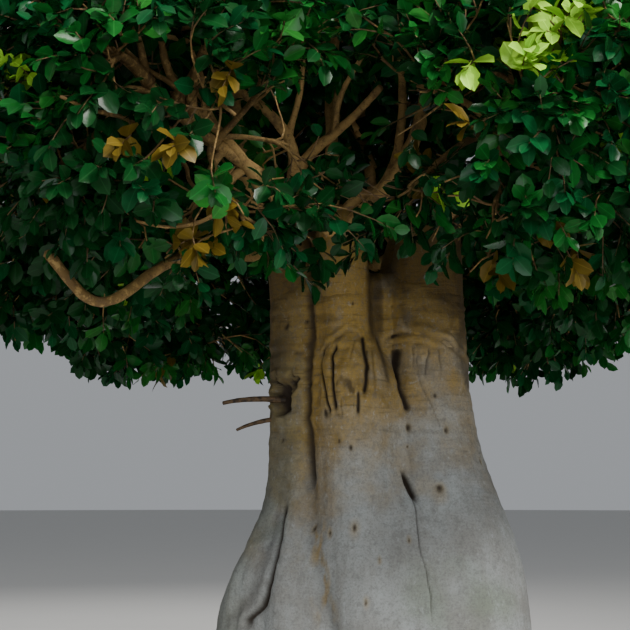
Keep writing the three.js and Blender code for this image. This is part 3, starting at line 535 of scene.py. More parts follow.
def trunk_relief(turn, height, strength):
    """Radius and marks of the trunk at each angle and height: the body's radius, less furrows, holes
    and pits, plus ropes, scars, the graft's callus and noise. The noise that stands for wear grows with
    the height, and the noise that shows on the sides and the back grows with the angle from the front.
    Marks are dirt with painted shade, tan bark and green film."""
    far = ease(np.abs(arc_to(turn, 1, -90)), 1.40, 1.95)
    column = np.stack((0.3 * np.cos(turn), 0.3 * np.sin(turn), height), -1)
    bent = turn + far * 0.080 * noise(column, 0.20, 71, 2)
    body = grown_shut(bent, height, body_radius(bent, height))
    points = np.stack((body * np.cos(turn), body * np.sin(turn), height), -1)
    change, dirt_and_shade, tan = np.zeros_like(body), np.zeros_like(body), np.zeros_like(body)
    wander = noise(points, 0.045, 3, 2)
    waved = bent + wander * (0.0035 + 0.0050 * far) / body
    # Ropes stand out, darker along their feet.
    for line, width, rise, fade in ROPES:
        ridge = furrow_profile(bent + far * wander * 0.010 / body, height, body, (line, width, 0, 0, fade))
        change += rise * ridge**1.4 * (1 + 0.35 * noise(points, 0.06, 33))
        dirt_and_shade = np.maximum(dirt_and_shade, 0.42 * np.exp(-(((ridge - 0.22) / 0.24) ** 2)) * ease(ridge, 0, 0.12))
    # Furrows and splits go in, with painted shade and dirt at their bottom.
    for furrow in FURROWS + SPLITS:
        _, _, depth, dark, _ = furrow
        line = furrow_profile(waved, height, body, furrow)
        change -= depth * line
        dirt_and_shade = np.maximum(dirt_and_shade, dark * line**1.3)
    # Scars stand out unevenly over a groove, which is painted dark as the shade under them, and are tan.
    for scar in SCARS:
        ridge, groove = scar_profile(turn, height + wander * 0.005, scar)
        uneven, rise = 0.75 + 0.5 * noise(points, 0.02, 13), scar[2]
        change += rise * (ridge - 0.9 * groove) * strength * uneven
        dirt_and_shade = np.maximum(dirt_and_shade, 110 * rise * groove * uneven)
        tan = np.maximum(tan, 0.8 * ridge)
    # Holes go in within a rim that stands out, painted dark inside as shade, in a stain of dirt and tan bark.
    for hollow in HOLLOWS:
        depth, _, ragged, stain = hollow[4:]
        past = hollow_profile(turn, height, body, hollow) * (1 + ragged * noise(points, 0.018, 17, 2))
        open_share = np.exp(-((past * 0.85) ** 4))
        change -= depth * open_share
        change += stain * 0.005 * np.exp(-(((past - 1.6) / 0.4) ** 2)) * strength
        dirt_and_shade = np.maximum(dirt_and_shade, np.maximum(open_share, 0.8 * stain * np.exp(-((past * 0.52) ** 2))))
        tan = np.maximum(tan, 0.8 * stain * np.exp(-((past / 3.2) ** 2)))
    # Pits go in, taller than they are wide, with a tan edge.
    for angle, level, size in PITS:
        near = np.hypot(arc_to(turn, body, angle), (height - level) / 1.8)
        near = near / (0.7 * size) * (1 + 0.6 * wander)
        change -= 0.55 * size * np.exp(-(near**2)) * strength
        dirt_and_shade = np.maximum(dirt_and_shade, 0.80 * np.exp(-((near * 0.8) ** 2)))
        tan = np.maximum(tan, 0.5 * np.exp(-((near / 2.5) ** 2)))
    held, stands, folds = graft_callus(turn, height, body, points)
    change += held * strength * stands
    dirt_and_shade = np.maximum(dirt_and_shade, folds)
    tan = np.maximum(tan, 0.88 * held)
    # Noise of the bark, then of its foot, where it runs out upwards.
    worn = ease(height, 0.60, 0.95)
    fibres = noise(points, (0.022, 0.022, 0.15), 11, 2)
    change += strength * (BARK["swell"] * noise(points, 0.13, 31, 2) + BARK["fibre"] * fibres)
    smooth, added = BARK["ring"]
    change += strength * noise(points, (0.060, 0.060, 0.012), 21, 2) * (smooth + added * worn)
    change += strength * BARK["grain"] * noise(points, 0.016, 23, 2)
    bands = ease(noise(points, (0.09, 0.09, 0.028), 27, 2), 0.15, 0.6) * worn
    change += strength * BARK["band"] * bands
    dirt_and_shade = np.maximum(dirt_and_shade, 0.35 * ease(noise(points, (0.10, 0.10, 0.020), 29, 2), 0.30, 0.75) * worn)
    change += strength * far * BARK["back"] * noise(points, (0.05, 0.05, 0.09), 47, 3)
    fine, broad = BARK["foot"]
    change += np.exp(-height / 0.11) * fine * (noise(points * (1, 1, 0.25), 0.06, 41, 2) - 0.2)
    change += np.exp(-height / 0.20) * broad * noise(points * (1, 1, 0.15), 0.11, 45, 2)
    # Painted shade lies where the bark is hollow and on the shaded stems, with some dirt there; dirt
    # also lies in runs down the back and at the soil.
    radius = body + change
    cavity = blurred(radius, 6, 4) - radius
    dirt_and_shade = np.maximum(dirt_and_shade, ease(cavity, 0.0012, 0.0080) * (0.35 + 0.5 * worn))
    runs = ease(noise(points, (0.035, 0.035, 0.30), 83, 3), 0.15, 0.75) * (0.10 + 0.28 * far)
    soil = np.exp(-height / 0.030) * (0.65 + 0.35 * noise(points, 0.03, 87, 2))
    shaded, greened = shade_marks(turn, height + 0.05 * noise(points, 0.05, 91, 2))
    shaded = shaded * (0.92 + 0.25 * noise(points, 0.05, 93, 2))
    dirt_and_shade = np.maximum(np.maximum(np.maximum(dirt_and_shade, runs), soil), shaded)
    # The seam is tan in patches. Green film lies low down at the right and in the shades.
    seam = arc_to(turn, body, np.interp(height, SEAM["heights"], SEAM["angles"]))
    patchy = ease(noise(points, (0.02, 0.02, 0.05), 57, 3), -0.1, 0.5)
    seam = patchy * np.exp(-((seam / SEAM["width"]) ** 2)) * (1 - ease(height, 0.80, 0.95)) * 0.75
    tan = np.maximum(tan, seam)
    film = ease(noise(points, 0.16, 51, 3), -0.1, 0.7) * ease(-height, -0.85, -0.45)
    film = np.maximum(film * ease(points[..., 0], -0.05, 0.15), greened)
    return radius, np.clip(np.stack((dirt_and_shade, tan, film), -1), 0, 1)


def new_piece(name, points, corners, sizes, material, uv=None, marks=None):
    """A mesh object from arrays: points, the corner indices of all faces in a row, and each face's size."""
    mesh = bpy.data.meshes.new(name)
    mesh.vertices.add(len(points))
    mesh.vertices.foreach_set("co", np.ascontiguousarray(points, np.float32).ravel())
    mesh.loops.add(len(corners))
    mesh.loops.foreach_set("vertex_index", np.ascontiguousarray(corners, np.int32))
    mesh.polygons.add(len(sizes))
    starts = np.concatenate(((0,), np.cumsum(sizes)[:-1]))
    mesh.polygons.foreach_set("loop_start", np.ascontiguousarray(starts, np.int32))
    mesh.update(calc_edges=True)
    if mesh.validate():
        raise RuntimeError(f"{name} has faces that aren't valid")
    mesh.polygons.foreach_set("use_smooth", np.full(len(sizes), True))
    if uv is not None:
        layer = mesh.uv_layers.new(name="leaf")
        layer.data.foreach_set("uv", np.ascontiguousarray(uv[corners], np.float32).ravel())
    if marks is not None:
        layer = mesh.attributes.new("marks", "FLOAT_COLOR", "POINT")
        rgba = np.concatenate((marks, np.ones((len(marks), 1))), 1)
        layer.data.foreach_set("color", np.ascontiguousarray(rgba, np.float32).ravel())
    mesh.materials.append(material)
    piece = bpy.data.objects.new(name, mesh)
    bpy.context.scene.collection.objects.link(piece)
    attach(piece, "root")
    return piece


def tube_faces(tubes, rings, sides):
    """Corner indices and face sizes of closed tubes: quads between rings and a fan at each end.
    Each tube's points are its rings, then its first and its last end point."""
    ring, side = np.meshgrid(np.arange(rings - 1), np.arange(sides), indexing="ij")
    after = (side + 1) % sides
    quads = np.stack((ring * sides + side, ring * sides + after,
                      (ring + 1) * sides + after, (ring + 1) * sides + side), -1).reshape(-1, 4)
    around = np.arange(sides)
    following = (around + 1) % sides
    first, last = np.full(sides, rings * sides), np.full(sides, rings * sides + 1)
    top = (rings - 1) * sides
    fans = np.concatenate((np.stack((first, following, around), -1),
                           np.stack((last, top + around, top + following), -1)))
    step = np.arange(tubes)[:, None] * (rings * sides + 2)
    corners = np.concatenate((quads.ravel()[None] + step, fans.ravel()[None] + step), 1)
    sizes = np.tile(np.concatenate((np.full(len(quads), 4), np.full(len(fans), 3))), tubes)
    return corners.ravel(), sizes


def tube_points(paths, radii, sides):
    """Points of round tubes: path + radius * (cos(a) * side + sin(a) * lift) at each step, where side
    and lift stand square to the path, and an end point 0.3 radii before the root and 0.5 radii past
    the tip. paths is tubes x rings x 3 and radii tubes x rings."""
    along = unit(np.gradient(paths, axis=1))
    whole = np.abs(unit(paths[:, -1] - paths[:, 0]))
    reference = np.eye(3)[np.argmin(whole, axis=1)][:, None]
    side = unit(np.cross(along, reference))
    lift = np.cross(along, side)
    angle = np.arange(sides) * 2 * np.pi / sides
    spoke = np.cos(angle)[:, None] * side[:, :, None] + np.sin(angle)[:, None] * lift[:, :, None]
    ringed = paths[:, :, None] + spoke * np.asarray(radii)[:, :, None, None]
    foot = paths[:, 0] - along[:, 0] * radii[:, :1] * 0.3
    ends = np.stack((foot, paths[:, -1] + along[:, -1] * radii[:, -1:] * 0.5), 1)
    return np.concatenate((ringed.reshape(len(paths), -1, 3), ends), 1)


def gathered(groups):
    """Joins lots of points, corners and sizes into one."""
    shift = np.cumsum([0] + [len(points) for points, _, _ in groups])
    points = np.concatenate([g[0] for g in groups])
    corners = np.concatenate([g[1] + shift[i] for i, g in enumerate(groups)])
    return points, corners, np.concatenate([g[2] for g in groups])


def tubes(paths, radii, sides):
    """Closed round tubes along paths, as points, corners and sizes."""
    points = tube_points(paths, radii, sides)
    return (points.reshape(-1, 3), *tube_faces(len(paths), paths.shape[1], sides))


def bezier(controls, shares):
    """Points of Bezier curves, by mixing neighbours by the share until one point is left: controls is
    curves x 3 or 4 x 3, shares is curves x steps or steps."""
    shares = np.broadcast_to(shares, (len(controls), np.shape(shares)[-1]))[..., None]
    level = [controls[:, i, None] for i in range(controls.shape[1])]
    while len(level) > 1:
        level = [a + (b - a) * shares for a, b in zip(level, level[1:])]
    return level[0]


def bezier_slope(controls, shares):
    """Unit direction of the curves at the shares."""
    near = bezier(controls, np.clip(shares - 0.01, 0, 1))
    return unit(bezier(controls, np.clip(shares + 0.01, 0, 1)) - near)


def rough_limb(path, radius, sides, seed, lumps):
    """One closed limb with relief: radius(share) * (1 + lumps * noise + ring wrinkles)."""
    points = tube_points(path[None], radius[None], sides)[0]
    body = points[:-2].reshape(len(path), sides, 3)
    out = body - path[:, None]
    mean = radius.mean()
    swell = noise(body, mean * 2.2, seed, 2) * lumps
    wrinkle = noise(body, (mean * 3, mean * 3, mean * 0.5), seed + 7) * lumps * 0.3
    points[:-2] = (path[:, None] + out * (1 + swell + wrinkle)[..., None]).reshape(-1, 3)
    return (points, *tube_faces(1, len(path), sides))


def ring_of_masses(level, ring):
    """The masses of a ring, from the right of the front parting round to its left."""
    count = len(ring["names"])
    step = (360 - ring["front_angle"]) / (count - 1)
    made = []
    for i, name in enumerate(ring["names"]):
        angle = math.radians(-90 + ring["front_angle"] / 2 + i * step)
        out = np.array((math.cos(angle), math.sin(angle), 0.0))
        reach, height = ring["reach"], ring["height"] - out[1] * ring["fall"]
        made.append({
            "name": f"{level}_{name}", "level": level, "stem": ring["stems"][i], "size": ring["size"],
            "parting": ring["parting"] if i in (0, count - 1) else 0,
            "out": out, "across": np.array((-out[1], out[0], 0.0)),
            "centre": np.array((CROWN_X + out[0] * reach, out[1] * reach, height)),
        })
    return made


MASSES = ring_of_masses("low", LOW_RING) + ring_of_masses("high", HIGH_RING) + [{
    "name": "top", "level": "top", "stem": CROWN_TOP["stem"], "size": CROWN_TOP["size"], "parting": 0,
    "out": np.array((0.0, -1.0, 0.0)), "across": np.array((1.0, 0.0, 0.0)),
    "centre": np.array((CROWN_X, 0.0, CROWN_TOP["height"])),
}]


def outline_reach(mass, way):
    """How far the mass's ellipsoid reaches from its centre in each direction: 1 over the root of the
    sum of the squares of the direction's parts, each over its half axis."""
    out, across, up = mass["size"]
    flat = (way @ mass["out"] / out) ** 2 + (way @ mass["across"] / across) ** 2
    return 1 / np.sqrt(flat + (way[..., 2] / up) ** 2)


def cell_reach(mass, way):
    """The outline's reach, which fills out towards its neighbours by up to FILLING, cut short at the
    planes half way to them: (apart^2 / 2 - margin * apart) / (way . towards)."""
    outline = outline_reach(mass, way)
    limit, wall = np.full_like(outline, UNBOUNDED), np.full_like(outline, UNBOUNDED)
    for other in MASSES:
        if other is mass:
            continue
        towards = other["centre"] - mass["centre"]
        apart = np.linalg.norm(towards)
        opens = mass["parting"] > 0 and other["parting"] > 0 and mass["level"] == other["level"]
        margin = mass["parting"] if opens else CELL_MARGIN
        reach = (apart**2 / 2 - margin * apart) / np.maximum(way @ towards, 1e-6)
        limit = np.minimum(limit, reach)
        wall = wall if opens else np.minimum(wall, reach)
    return np.minimum(limit, outline * (1 + FILLING * ease(outline / wall, FILLING_FROM, 1)))


def nearest_mass(point):
    """The mass whose centre is nearest to a point."""
    return min(MASSES, key=lambda mass: np.linalg.norm(mass["centre"] - point))


def tip_point(stem):
    """Where boughs start, a little below a stem's tip."""
    x, y, z, _ = STEMS[stem][3]
    return np.array((x, y, z - BOUGH_SINK))


def bough_controls(mass):
    """Bezier points of the bough from its stem's tip to where it enters its mass."""
    shape = LOW_BOUGH if mass["level"] == "low" else HIGH_BOUGH
    start = tip_point(mass["stem"])
    inwards = unit(start - mass["centre"])
    end = mass["centre"] + inwards * outline_reach(mass, inwards) * ENTRY_SHARE
    span = np.linalg.norm(end - start)
    leaving = unit(unit((end - start) * (1, 1, 0)) + UP * shape["lift"])
    arriving = unit(inwards * (1 - shape["rising"]) - UP * shape["rising"])
    first, second = start + leaving * span * shape["leave"], end + arriving * span * shape["arrive"]
    return np.array((start, first, second, end))


def curve_through(knots, count):
    """A centripetal Catmull-Rom curve through the knots, as count points: between two knots it is the
    cubic blend of the knots and of the slopes at them."""
    knots = np.asarray(knots, float)
    knots = np.concatenate((2 * knots[:1] - knots[1:2], knots, 2 * knots[-1:] - knots[-2:-1]))
    gap = np.sqrt(np.linalg.norm(np.diff(knots, axis=0), axis=1))[:, None]
    slope = np.diff(knots, axis=0) / gap
    tangent = (slope[:-1] * gap[1:] + slope[1:] * gap[:-1]) / (gap[1:] + gap[:-1])
    place = np.linspace(0, len(tangent) - 1, count)
    piece = np.minimum(place.astype(int), len(tangent) - 2)
    t = (place - piece)[:, None]
    p0, p1, width = knots[piece + 1], knots[piece + 2], gap[piece + 1]
    m0, m1 = tangent[piece] * width, tangent[piece + 1] * width
    from_first = (2 * t**3 - 3 * t**2 + 1) * p0 + (t**3 - 2 * t**2 + t) * m0
    return from_first + (3 * t**2 - 2 * t**3) * p1 + (t**3 - t**2) * m1


def golden_ways(count, rng, jitter):
    """Directions spread evenly over a sphere by the golden angle, turned at random and jittered: number
    i has the height 1 - 2 * (i + 0.5) / count and i golden turns."""
    step = np.arange(count)
    height = 1 - 2 * (step + 0.5) / count
    angle = step * GOLDEN_TURN + rng.random() * 2 * np.pi
    flat = np.sqrt(1 - height**2)
    ways = np.stack((flat * np.cos(angle), flat * np.sin(angle), height), -1)
    return unit(ways + rng.normal(0, jitter, ways.shape))


def notch_tips():
    """Tips of twigs that fill the notches under the crown, where two masses of the low ring meet: the
    middle of their centres, moved out, down and aside by each of NOTCHES."""
    made = []
    ring = [mass for mass in MASSES if mass["level"] == "low"]
    for one, other in zip(ring, ring[1:]):
        middle = (one["centre"] + other["centre"]) / 2
        out, across = unit(one["out"] + other["out"]), unit(other["centre"] - one["centre"])
        made += [middle + out * ahead + across * side - UP * drop for ahead, drop, side in NOTCHES]
    return made


def covers(points, limbs, share=1.0):
    """Whether a point stands in front of one of the limbs. For each point of a limb, along is how far
    towards the viewer a point lies from it and aside its distance from the line of sight through it: a
    point is in front if aside is less than a share of what the limb keeps clear."""
    hidden = np.zeros(len(points), bool)
    for path, clear in limbs:
        sight = unit(VIEWER - path)
        offset = points[:, None] - path
        along = (offset * sight).sum(-1)
        aside = np.linalg.norm(offset - along[..., None] * sight, axis=-1)
        hidden |= ((along > -BEHIND_LIMB) & (aside < clear * share)).any(1)
    return hidden


def shown_part(path, clear, start, end):
    """The points of a path between two shares of its length, with what it keeps clear."""
    return path[round(len(path) * start) : round(len(path) * end)], clear


def front_limbs(shown):
    """Points along the part of each front limb that shows, with what it keeps clear."""
    steps = SIGHT_STEPS["front_limbs"]
    return [shown_part(curve_through(FRONT_LIMBS[limb][0], steps), *rest) for limb, *rest in shown]


def loop_path(count):
    """The middle line of the low loop limb, as count points."""
    return curve_through((tip_point(LOOP["stem"]), *LOOP["points"]), count)


def shoots_cover(points, share=1.0):
    """Whether points of shoots stand in front of a front limb, the loop or the high front right bough."""
    front = next(mass for mass in MASSES if mass["name"] == "high_front_right")
    loop = shown_part(loop_path(SIGHT_STEPS["loop"]), *LOOP_IN_SIGHT.values())
    clear, start, end = BOUGH_IN_SIGHT.values()
    shares = np.linspace(start, end, SIGHT_STEPS["bough"])
    limbs = front_limbs(IN_SIGHT) + [loop, (bezier(bough_controls(front)[None], shares)[0], clear)]
    return covers(points, limbs, share)


def curves(points, radii, rng=None):
    """Bezier curves with their control points and a radius at the root, which may vary, and the tip."""
    root, varies, tip = radii
    count = len(points[0])
    roots = root + varies * rng.random(count) if varies else np.full(count, root)
    return {"controls": np.stack(points, 1), "root": roots, "tip": np.full(count, tip)}


def grow_mass(mass, sizes, rng):
    """Limbs, twigs and shoots of one mass. A limb leaves the inner stem for each golden-angle
    direction; a twig leaves the nearest limb for each finer one and ends just inside the cell;
    shoots leave the twig, the last one at its tip. Shoots in the window, in front of the stems' tops
    or in front of a limb that shows are left out but for a share of them. What hangs stays."""
    centre = mass["centre"]
    bough = bough_controls(mass)
    entry, arriving = bough[3], unit(bough[3] - bough[2])
    span = np.linalg.norm(centre - entry)
    beyond = unit(centre - entry) * 0.25 * span + UP * 0.04
    inner = np.array((entry, entry + arriving * 0.35 * span, centre - beyond * 0.5, centre + beyond))[None]
    stems = {"controls": inner, "root": np.array(INNER_STEM[:1]), "tip": np.array(INNER_STEM[2:])}

    ways = golden_ways(sizes.limbs, rng, 0.12)
    leave = np.clip(0.62 + 0.42 * (ways @ unit(centre - entry)) + rng.normal(0, 0.08, len(ways)), 0.06, 1)
    starts = bezier(np.repeat(inner, len(ways), 0), leave[:, None])[:, 0]
    slopes = bezier_slope(np.repeat(inner, len(ways), 0), leave[:, None])[:, 0]
    reach = cell_reach(mass, ways) * rng.uniform(*GROWTH["limb_reach"], len(ways))
    ends = centre + ways * reach[:, None]
    far = np.linalg.norm(ends - starts, axis=1)[:, None]
    bend = starts + (slopes * 0.22 + ways * 0.22 + UP * 0.06 + rng.normal(0, 0.07, ends.shape)) * far
    late = ends - (unit(ends - bend) * 0.30 + rng.normal(0, 0.05, ends.shape)) * far
    limbs = curves((starts, bend, late, ends), LIMB, rng)

    tries = golden_ways(sizes.twigs, rng, 0.05)
    reach = cell_reach(mass, tries)
    share = reach / outline_reach(mass, tries)
    heart = unit(centre - CROWN_HEART)
    chance = np.interp(share, *GROWTH["by_share"]) * np.interp(tries @ heart, *GROWTH["by_way"])
    kept = rng.random(len(tries)) < chance
    tries, reach = tries[kept], reach[kept]
    room = np.maximum(reach - sizes.leaf_length * 1.05, 0.05)
    tips = centre + tries * (room * rng.uniform(*GROWTH["twig_reach"], len(tries)))[:, None]
    hanging = [np.array(tip) for tip in FRINGE + notch_tips()]
    fringe = np.array([tip for tip in hanging if nearest_mass(tip) is mass]).reshape(-1, 3)
    tips = np.concatenate((tips, fringe))
    tries = np.concatenate((tries, unit(fringe - centre)))
    nearest = np.argmax(tries @ ways.T, axis=1)
    leave = rng.uniform(*GROWTH["twig_from"], len(tries))[:, None]
    parent = limbs["controls"][nearest]
    starts, slopes = bezier(parent, leave)[:, 0], bezier_slope(parent, leave)[:, 0]
    far = np.linalg.norm(tips - starts, axis=1)[:, None]
    bend = starts + (slopes * 0.40 + rng.normal(0, 0.10, tips.shape)) * far
    late = tips - (tries * 0.25 + unit(tips - starts) * 0.15 + rng.normal(0, 0.06, tips.shape)) * far
    twigs = curves((starts, bend, late, tips), TWIG, rng)

    shares = np.linspace(GROWTH["first_shoot"], 1, sizes.shoots)[None]
    shares = shares + rng.uniform(-0.06, 0.02, (len(tips), sizes.shoots))
    shares[:, -1] = 1
    starts, slopes = bezier(twigs["controls"], shares), bezier_slope(twigs["controls"], shares)
    scatter = unit(rng.normal(0, 1, starts.shape))
    ending = (np.arange(sizes.shoots) == sizes.shoots - 1)[None, :, None]
    aside = slopes * 0.45 + scatter * 0.85 + tries[:, None] * 0.35 + UP * 0.12
    head = unit(np.where(ending, slopes + scatter * 0.25, aside))
    length = sizes.shoot_length * rng.uniform(*GROWTH["shoot"], starts.shape[:2])
    tips = starts + head * length[..., None]
    starts, tips, slopes = starts.reshape(-1, 3), tips.reshape(-1, 3), slopes.reshape(-1, 3)
    offset = tips - centre
    distance = np.linalg.norm(offset, axis=1)[:, None]
    limit = cell_reach(mass, offset / distance)[:, None] - sizes.leaf_length * 0.45
    hangs = np.repeat(np.arange(len(tries)) >= len(tries) - len(fringe), sizes.shoots)
    limit[hangs] = UNBOUNDED
    tips = centre + offset * np.minimum(1, limit / distance)
    bow = (slopes * 0.12 + UP * 0.05) * np.linalg.norm(tips - starts, axis=1)[:, None]
    shoots = curves((starts, (starts + tips) / 2 + bow, tips), SHOOT)
    shoots["out"] = np.repeat(tries, sizes.shoots, 0)
    shoots["level"] = np.full(len(tips), mass["level"] != "low")
    within = np.abs(tips - WINDOW["centre"]) / WINDOW["half"]
    seen = (within.max(1) > 1) | (rng.random(len(tips)) < WINDOW["kept"])
    (left, right), (front, back) = STEMS_SHOW["x"], STEMS_SHOW["y"]
    lowest = STEMS_SHOW["from"] + (tips[:, 1] - front) * STEMS_SHOW["climb"]
    beside = (tips[:, 0] < left) | (tips[:, 0] > right) | (tips[:, 1] < front) | (tips[:, 1] > back)
    seen &= beside | (tips[:, 2] > lowest)
    hides = shoots_cover(tips) | shoots_cover(shoots["controls"].mean(1), MIDDLE_SHARE)
    seen &= (rng.random(len(tips)) < LEFT_IN_FRONT) | ~hides
    seen |= hangs
    shoots = {key: value[seen] for key, value in shoots.items()}
    leafy = seen.reshape(-1, sizes.shoots).any(1)
    twigs = {key: value[leafy] for key, value in twigs.items()}
    return {"stems": stems, "limbs": limbs, "twigs": twigs, "shoots": shoots}


GROWN = {}


def grown_crown():
    """The growth of all masses, worked out once for the twigs' and the leaves' operators."""
    sizes = bpy.context.scene.ficus_sizes
    if not GROWN:
        draws = [np.random.default_rng(sizes.seed + i) for i in range(len(MASSES))]
        parts = [grow_mass(mass, sizes, rng) for mass, rng in zip(MASSES, draws)]
        for kind in parts[0]:
            GROWN[kind] = {key: np.concatenate([p[kind][key] for p in parts]) for key in parts[0][kind]}
    return GROWN


def tapered(kind):
    """Tubes along all curves of a kind: from the root's radius evenly to the tip's, with a collar of
    1 + 0.45 * exp(-share / 0.05) at the root."""
    grown = grown_crown()[kind]
    steps, sides = STEPS[kind]
    share = np.linspace(0, 1, steps)[None]
    root, tip = grown["root"][:, None], grown["tip"][:, None]
    radii = (root + (tip - root) * share) * (1 + 0.45 * np.exp(-share / 0.05))
    return tubes(bezier(grown["controls"], share), radii, sides)


# A leaf's rows between its two points, as shares of its length and of its width. Then how leaves sit on
# a shoot: the turn from one to the next, where the first is, the tilt of the first and of the last in
# degrees and its spread, the size of the last, and the ranges of size, width, fold along the midrib and
# droop of the tip.
LEAF_ROWS = ((0.20, 0.62), (0.52, 1.0), (0.82, 0.71))
LEAF_TURN = math.radians(137.5)
LEAF_HABIT = {"first": 0.12, "tilt": (66, 22, 9), "last": 0.70, "size": (0.72, 1.10), "width": (0.9, 1.1),
              "fold": (0.12, 0.42), "droop": (0.02, 0.26)}
# The leaves' tints: four greens, fresh tips and old leaves.
TINTS = ("deep", "cool", "mid", "warm", "fresh", "ochre")


def leaf_template():
    """Share along, share across and faces of one leaf: a point, rows of three, and a point."""
    along, across = [0.0], [0.0]
    for row, width in LEAF_ROWS:
        along += [row] * 3
        across += [-width, 0.0, width]
    along, across = np.array(along + [1.0]), np.array(across + [0.0])
    rows = len(LEAF_ROWS)
    faces = [(0, 2, 1), (0, 3, 2)]
    for r in range(rows - 1):
        a = 1 + 3 * r
        faces += [(a, a + 1, a + 4, a + 3), (a + 1, a + 2, a + 5, a + 4)]
    a, end = 1 + 3 * (rows - 1), 1 + 3 * rows
    faces += [(a, a + 1, end), (a + 1, a + 2, end)]
    return along, across, faces


def leaf_meshes(chosen, rng, sizes):
    """Leaves on the chosen shoots. Each leaves its shoot a turn further round it, tilts out from it, and
    turns its upper face to the light: point = base + axis * length * u + side * width * v
    + normal * (fold * width * |v| - droop * length * u^2). Leaves whose middle covers one of the limbs
    that show best are left out."""
    shoots = grown_crown()["shoots"]
    controls, out = shoots["controls"][chosen], shoots["out"][chosen]
    count, habit = sizes.leaves, LEAF_HABIT
    place = np.linspace(habit["first"], 1.0, count)[None] + rng.uniform(-0.04, 0.0, (len(controls), count))
    base = bezier(controls, place)
    along = bezier_slope(controls, place)
    reference = unit(np.cross(along, unit(rng.normal(0, 1, (len(controls), 1, 3)))))
    other = np.cross(along, reference)
    turn = (np.arange(count)[None] * LEAF_TURN + rng.random((len(controls), 1)) * 6.28)[..., None]
    outwards = np.cos(turn) * reference + np.sin(turn) * other
    first, last, spread = habit["tilt"]
    tilt = np.radians(np.linspace(first, last, count)[None] + rng.normal(0, spread, place.shape))[..., None]
    axis = unit(np.cos(tilt) * along + np.sin(tilt) * outwards - UP * 0.10)
    light = UP * 0.62 + out[:, None] * 0.55 + rng.normal(0, 0.33, axis.shape)
    normal = unit(light - axis * (light * axis).sum(-1, keepdims=True))
    side = np.cross(normal, axis)
    grown = np.linspace(1.0, habit["last"], count)[None] * rng.uniform(*habit["size"], place.shape)
    length = (sizes.leaf_length * grown)[..., None, None]
    width = (sizes.leaf_width / 2 * grown * rng.uniform(*habit["width"], place.shape))[..., None, None]
    u, v, faces = leaf_template()
    fold = rng.uniform(*habit["fold"], place.shape)[..., None, None]
    droop = rng.uniform(*habit["droop"], place.shape)[..., None, None]
    u, v = u[:, None], v[:, None]
    lift = fold * width * np.abs(v) - droop * length * u**2
    points = base[:, :, None] + axis[:, :, None] * length * u + side[:, :, None] * width * v
    points = points + normal[:, :, None] * lift
    middle = (base + axis * length[..., 0] / 2).reshape(-1, 3)
    points = points[~covers(middle, front_limbs(CLEAR_OF_LEAVES)).reshape(place.shape)]
    total = len(points)
    points = points.reshape(-1, 3)
    one = np.concatenate([np.array(face) for face in faces])
    corners = (one[None] + np.arange(total)[:, None] * len(u)).ravel()
    lengths = np.tile([len(face) for face in faces], total)
    uv = np.tile(np.concatenate((0.5 + 0.5 * v, u), 1), (total, 1))
    return points, corners, lengths, uv


def near_sight(points, place, radius):
    """Which points lie within the radius of the line of sight to a place, and not too far behind it."""
    reach = np.linalg.norm(place - VIEWER)
    toward = (place - VIEWER) / reach
    along = (points - VIEWER) @ toward
    miss = np.linalg.norm(points - VIEWER - along[:, None] * toward, axis=1)
    return (miss < radius) & (along < reach + BEHIND_PLACE)


def tint_of_shoots(rng):
    """Which tint each shoot takes, 0 to 5: clumps of deep, cool, mid and warm green by noise, with
    painted shade making them deeper low down and most of all at the front left, and a few fresh tips
    high up and old leaves low down, besides those in their places."""
    shoots = grown_crown()["shoots"]
    tips = shoots["controls"][:, -1]
    middles = shoots["controls"][:, -2:].mean(1)
    clump_and_shade = noise(tips, 0.16, 61, 2) + rng.normal(0, 0.35, len(tips))
    # Painted shade: shoots low down, and most of all at the front left, take deeper greens.
    clump_and_shade -= 0.30 * (1 - ease(tips[:, 2], 1.15, 1.55))
    left = ease(-tips[:, 0], 0.22, 0.32) * ease(-tips[:, 1], 0.05, 0.25)
    clump_and_shade -= 0.55 * (left * (1 - ease(tips[:, 2], 1.38, 1.52)))
    tint = np.digitize(clump_and_shade, (-0.42, 0.0, 0.42))
    chance = rng.random(len(tips))
    fresh, ochre = TINTS.index("fresh"), TINTS.index("ochre")
    high = ease(tips[:, 2], 1.3, 2.1) * 0.028 + 0.004
    tint[chance < high] = fresh
    low = 0.004 * (1 - ease(tips[:, 2], 1.1, 1.6))
    tint[chance > 1 - low] = ochre
    for places, value in ((FRESH_PLACES, fresh), (OCHRE_PLACES, ochre)):
        for centre, radius, share in places:
            near = near_sight(middles, np.array(centre), radius)
            tint[near & (rng.random(len(tips)) < share)] = value
    return tint


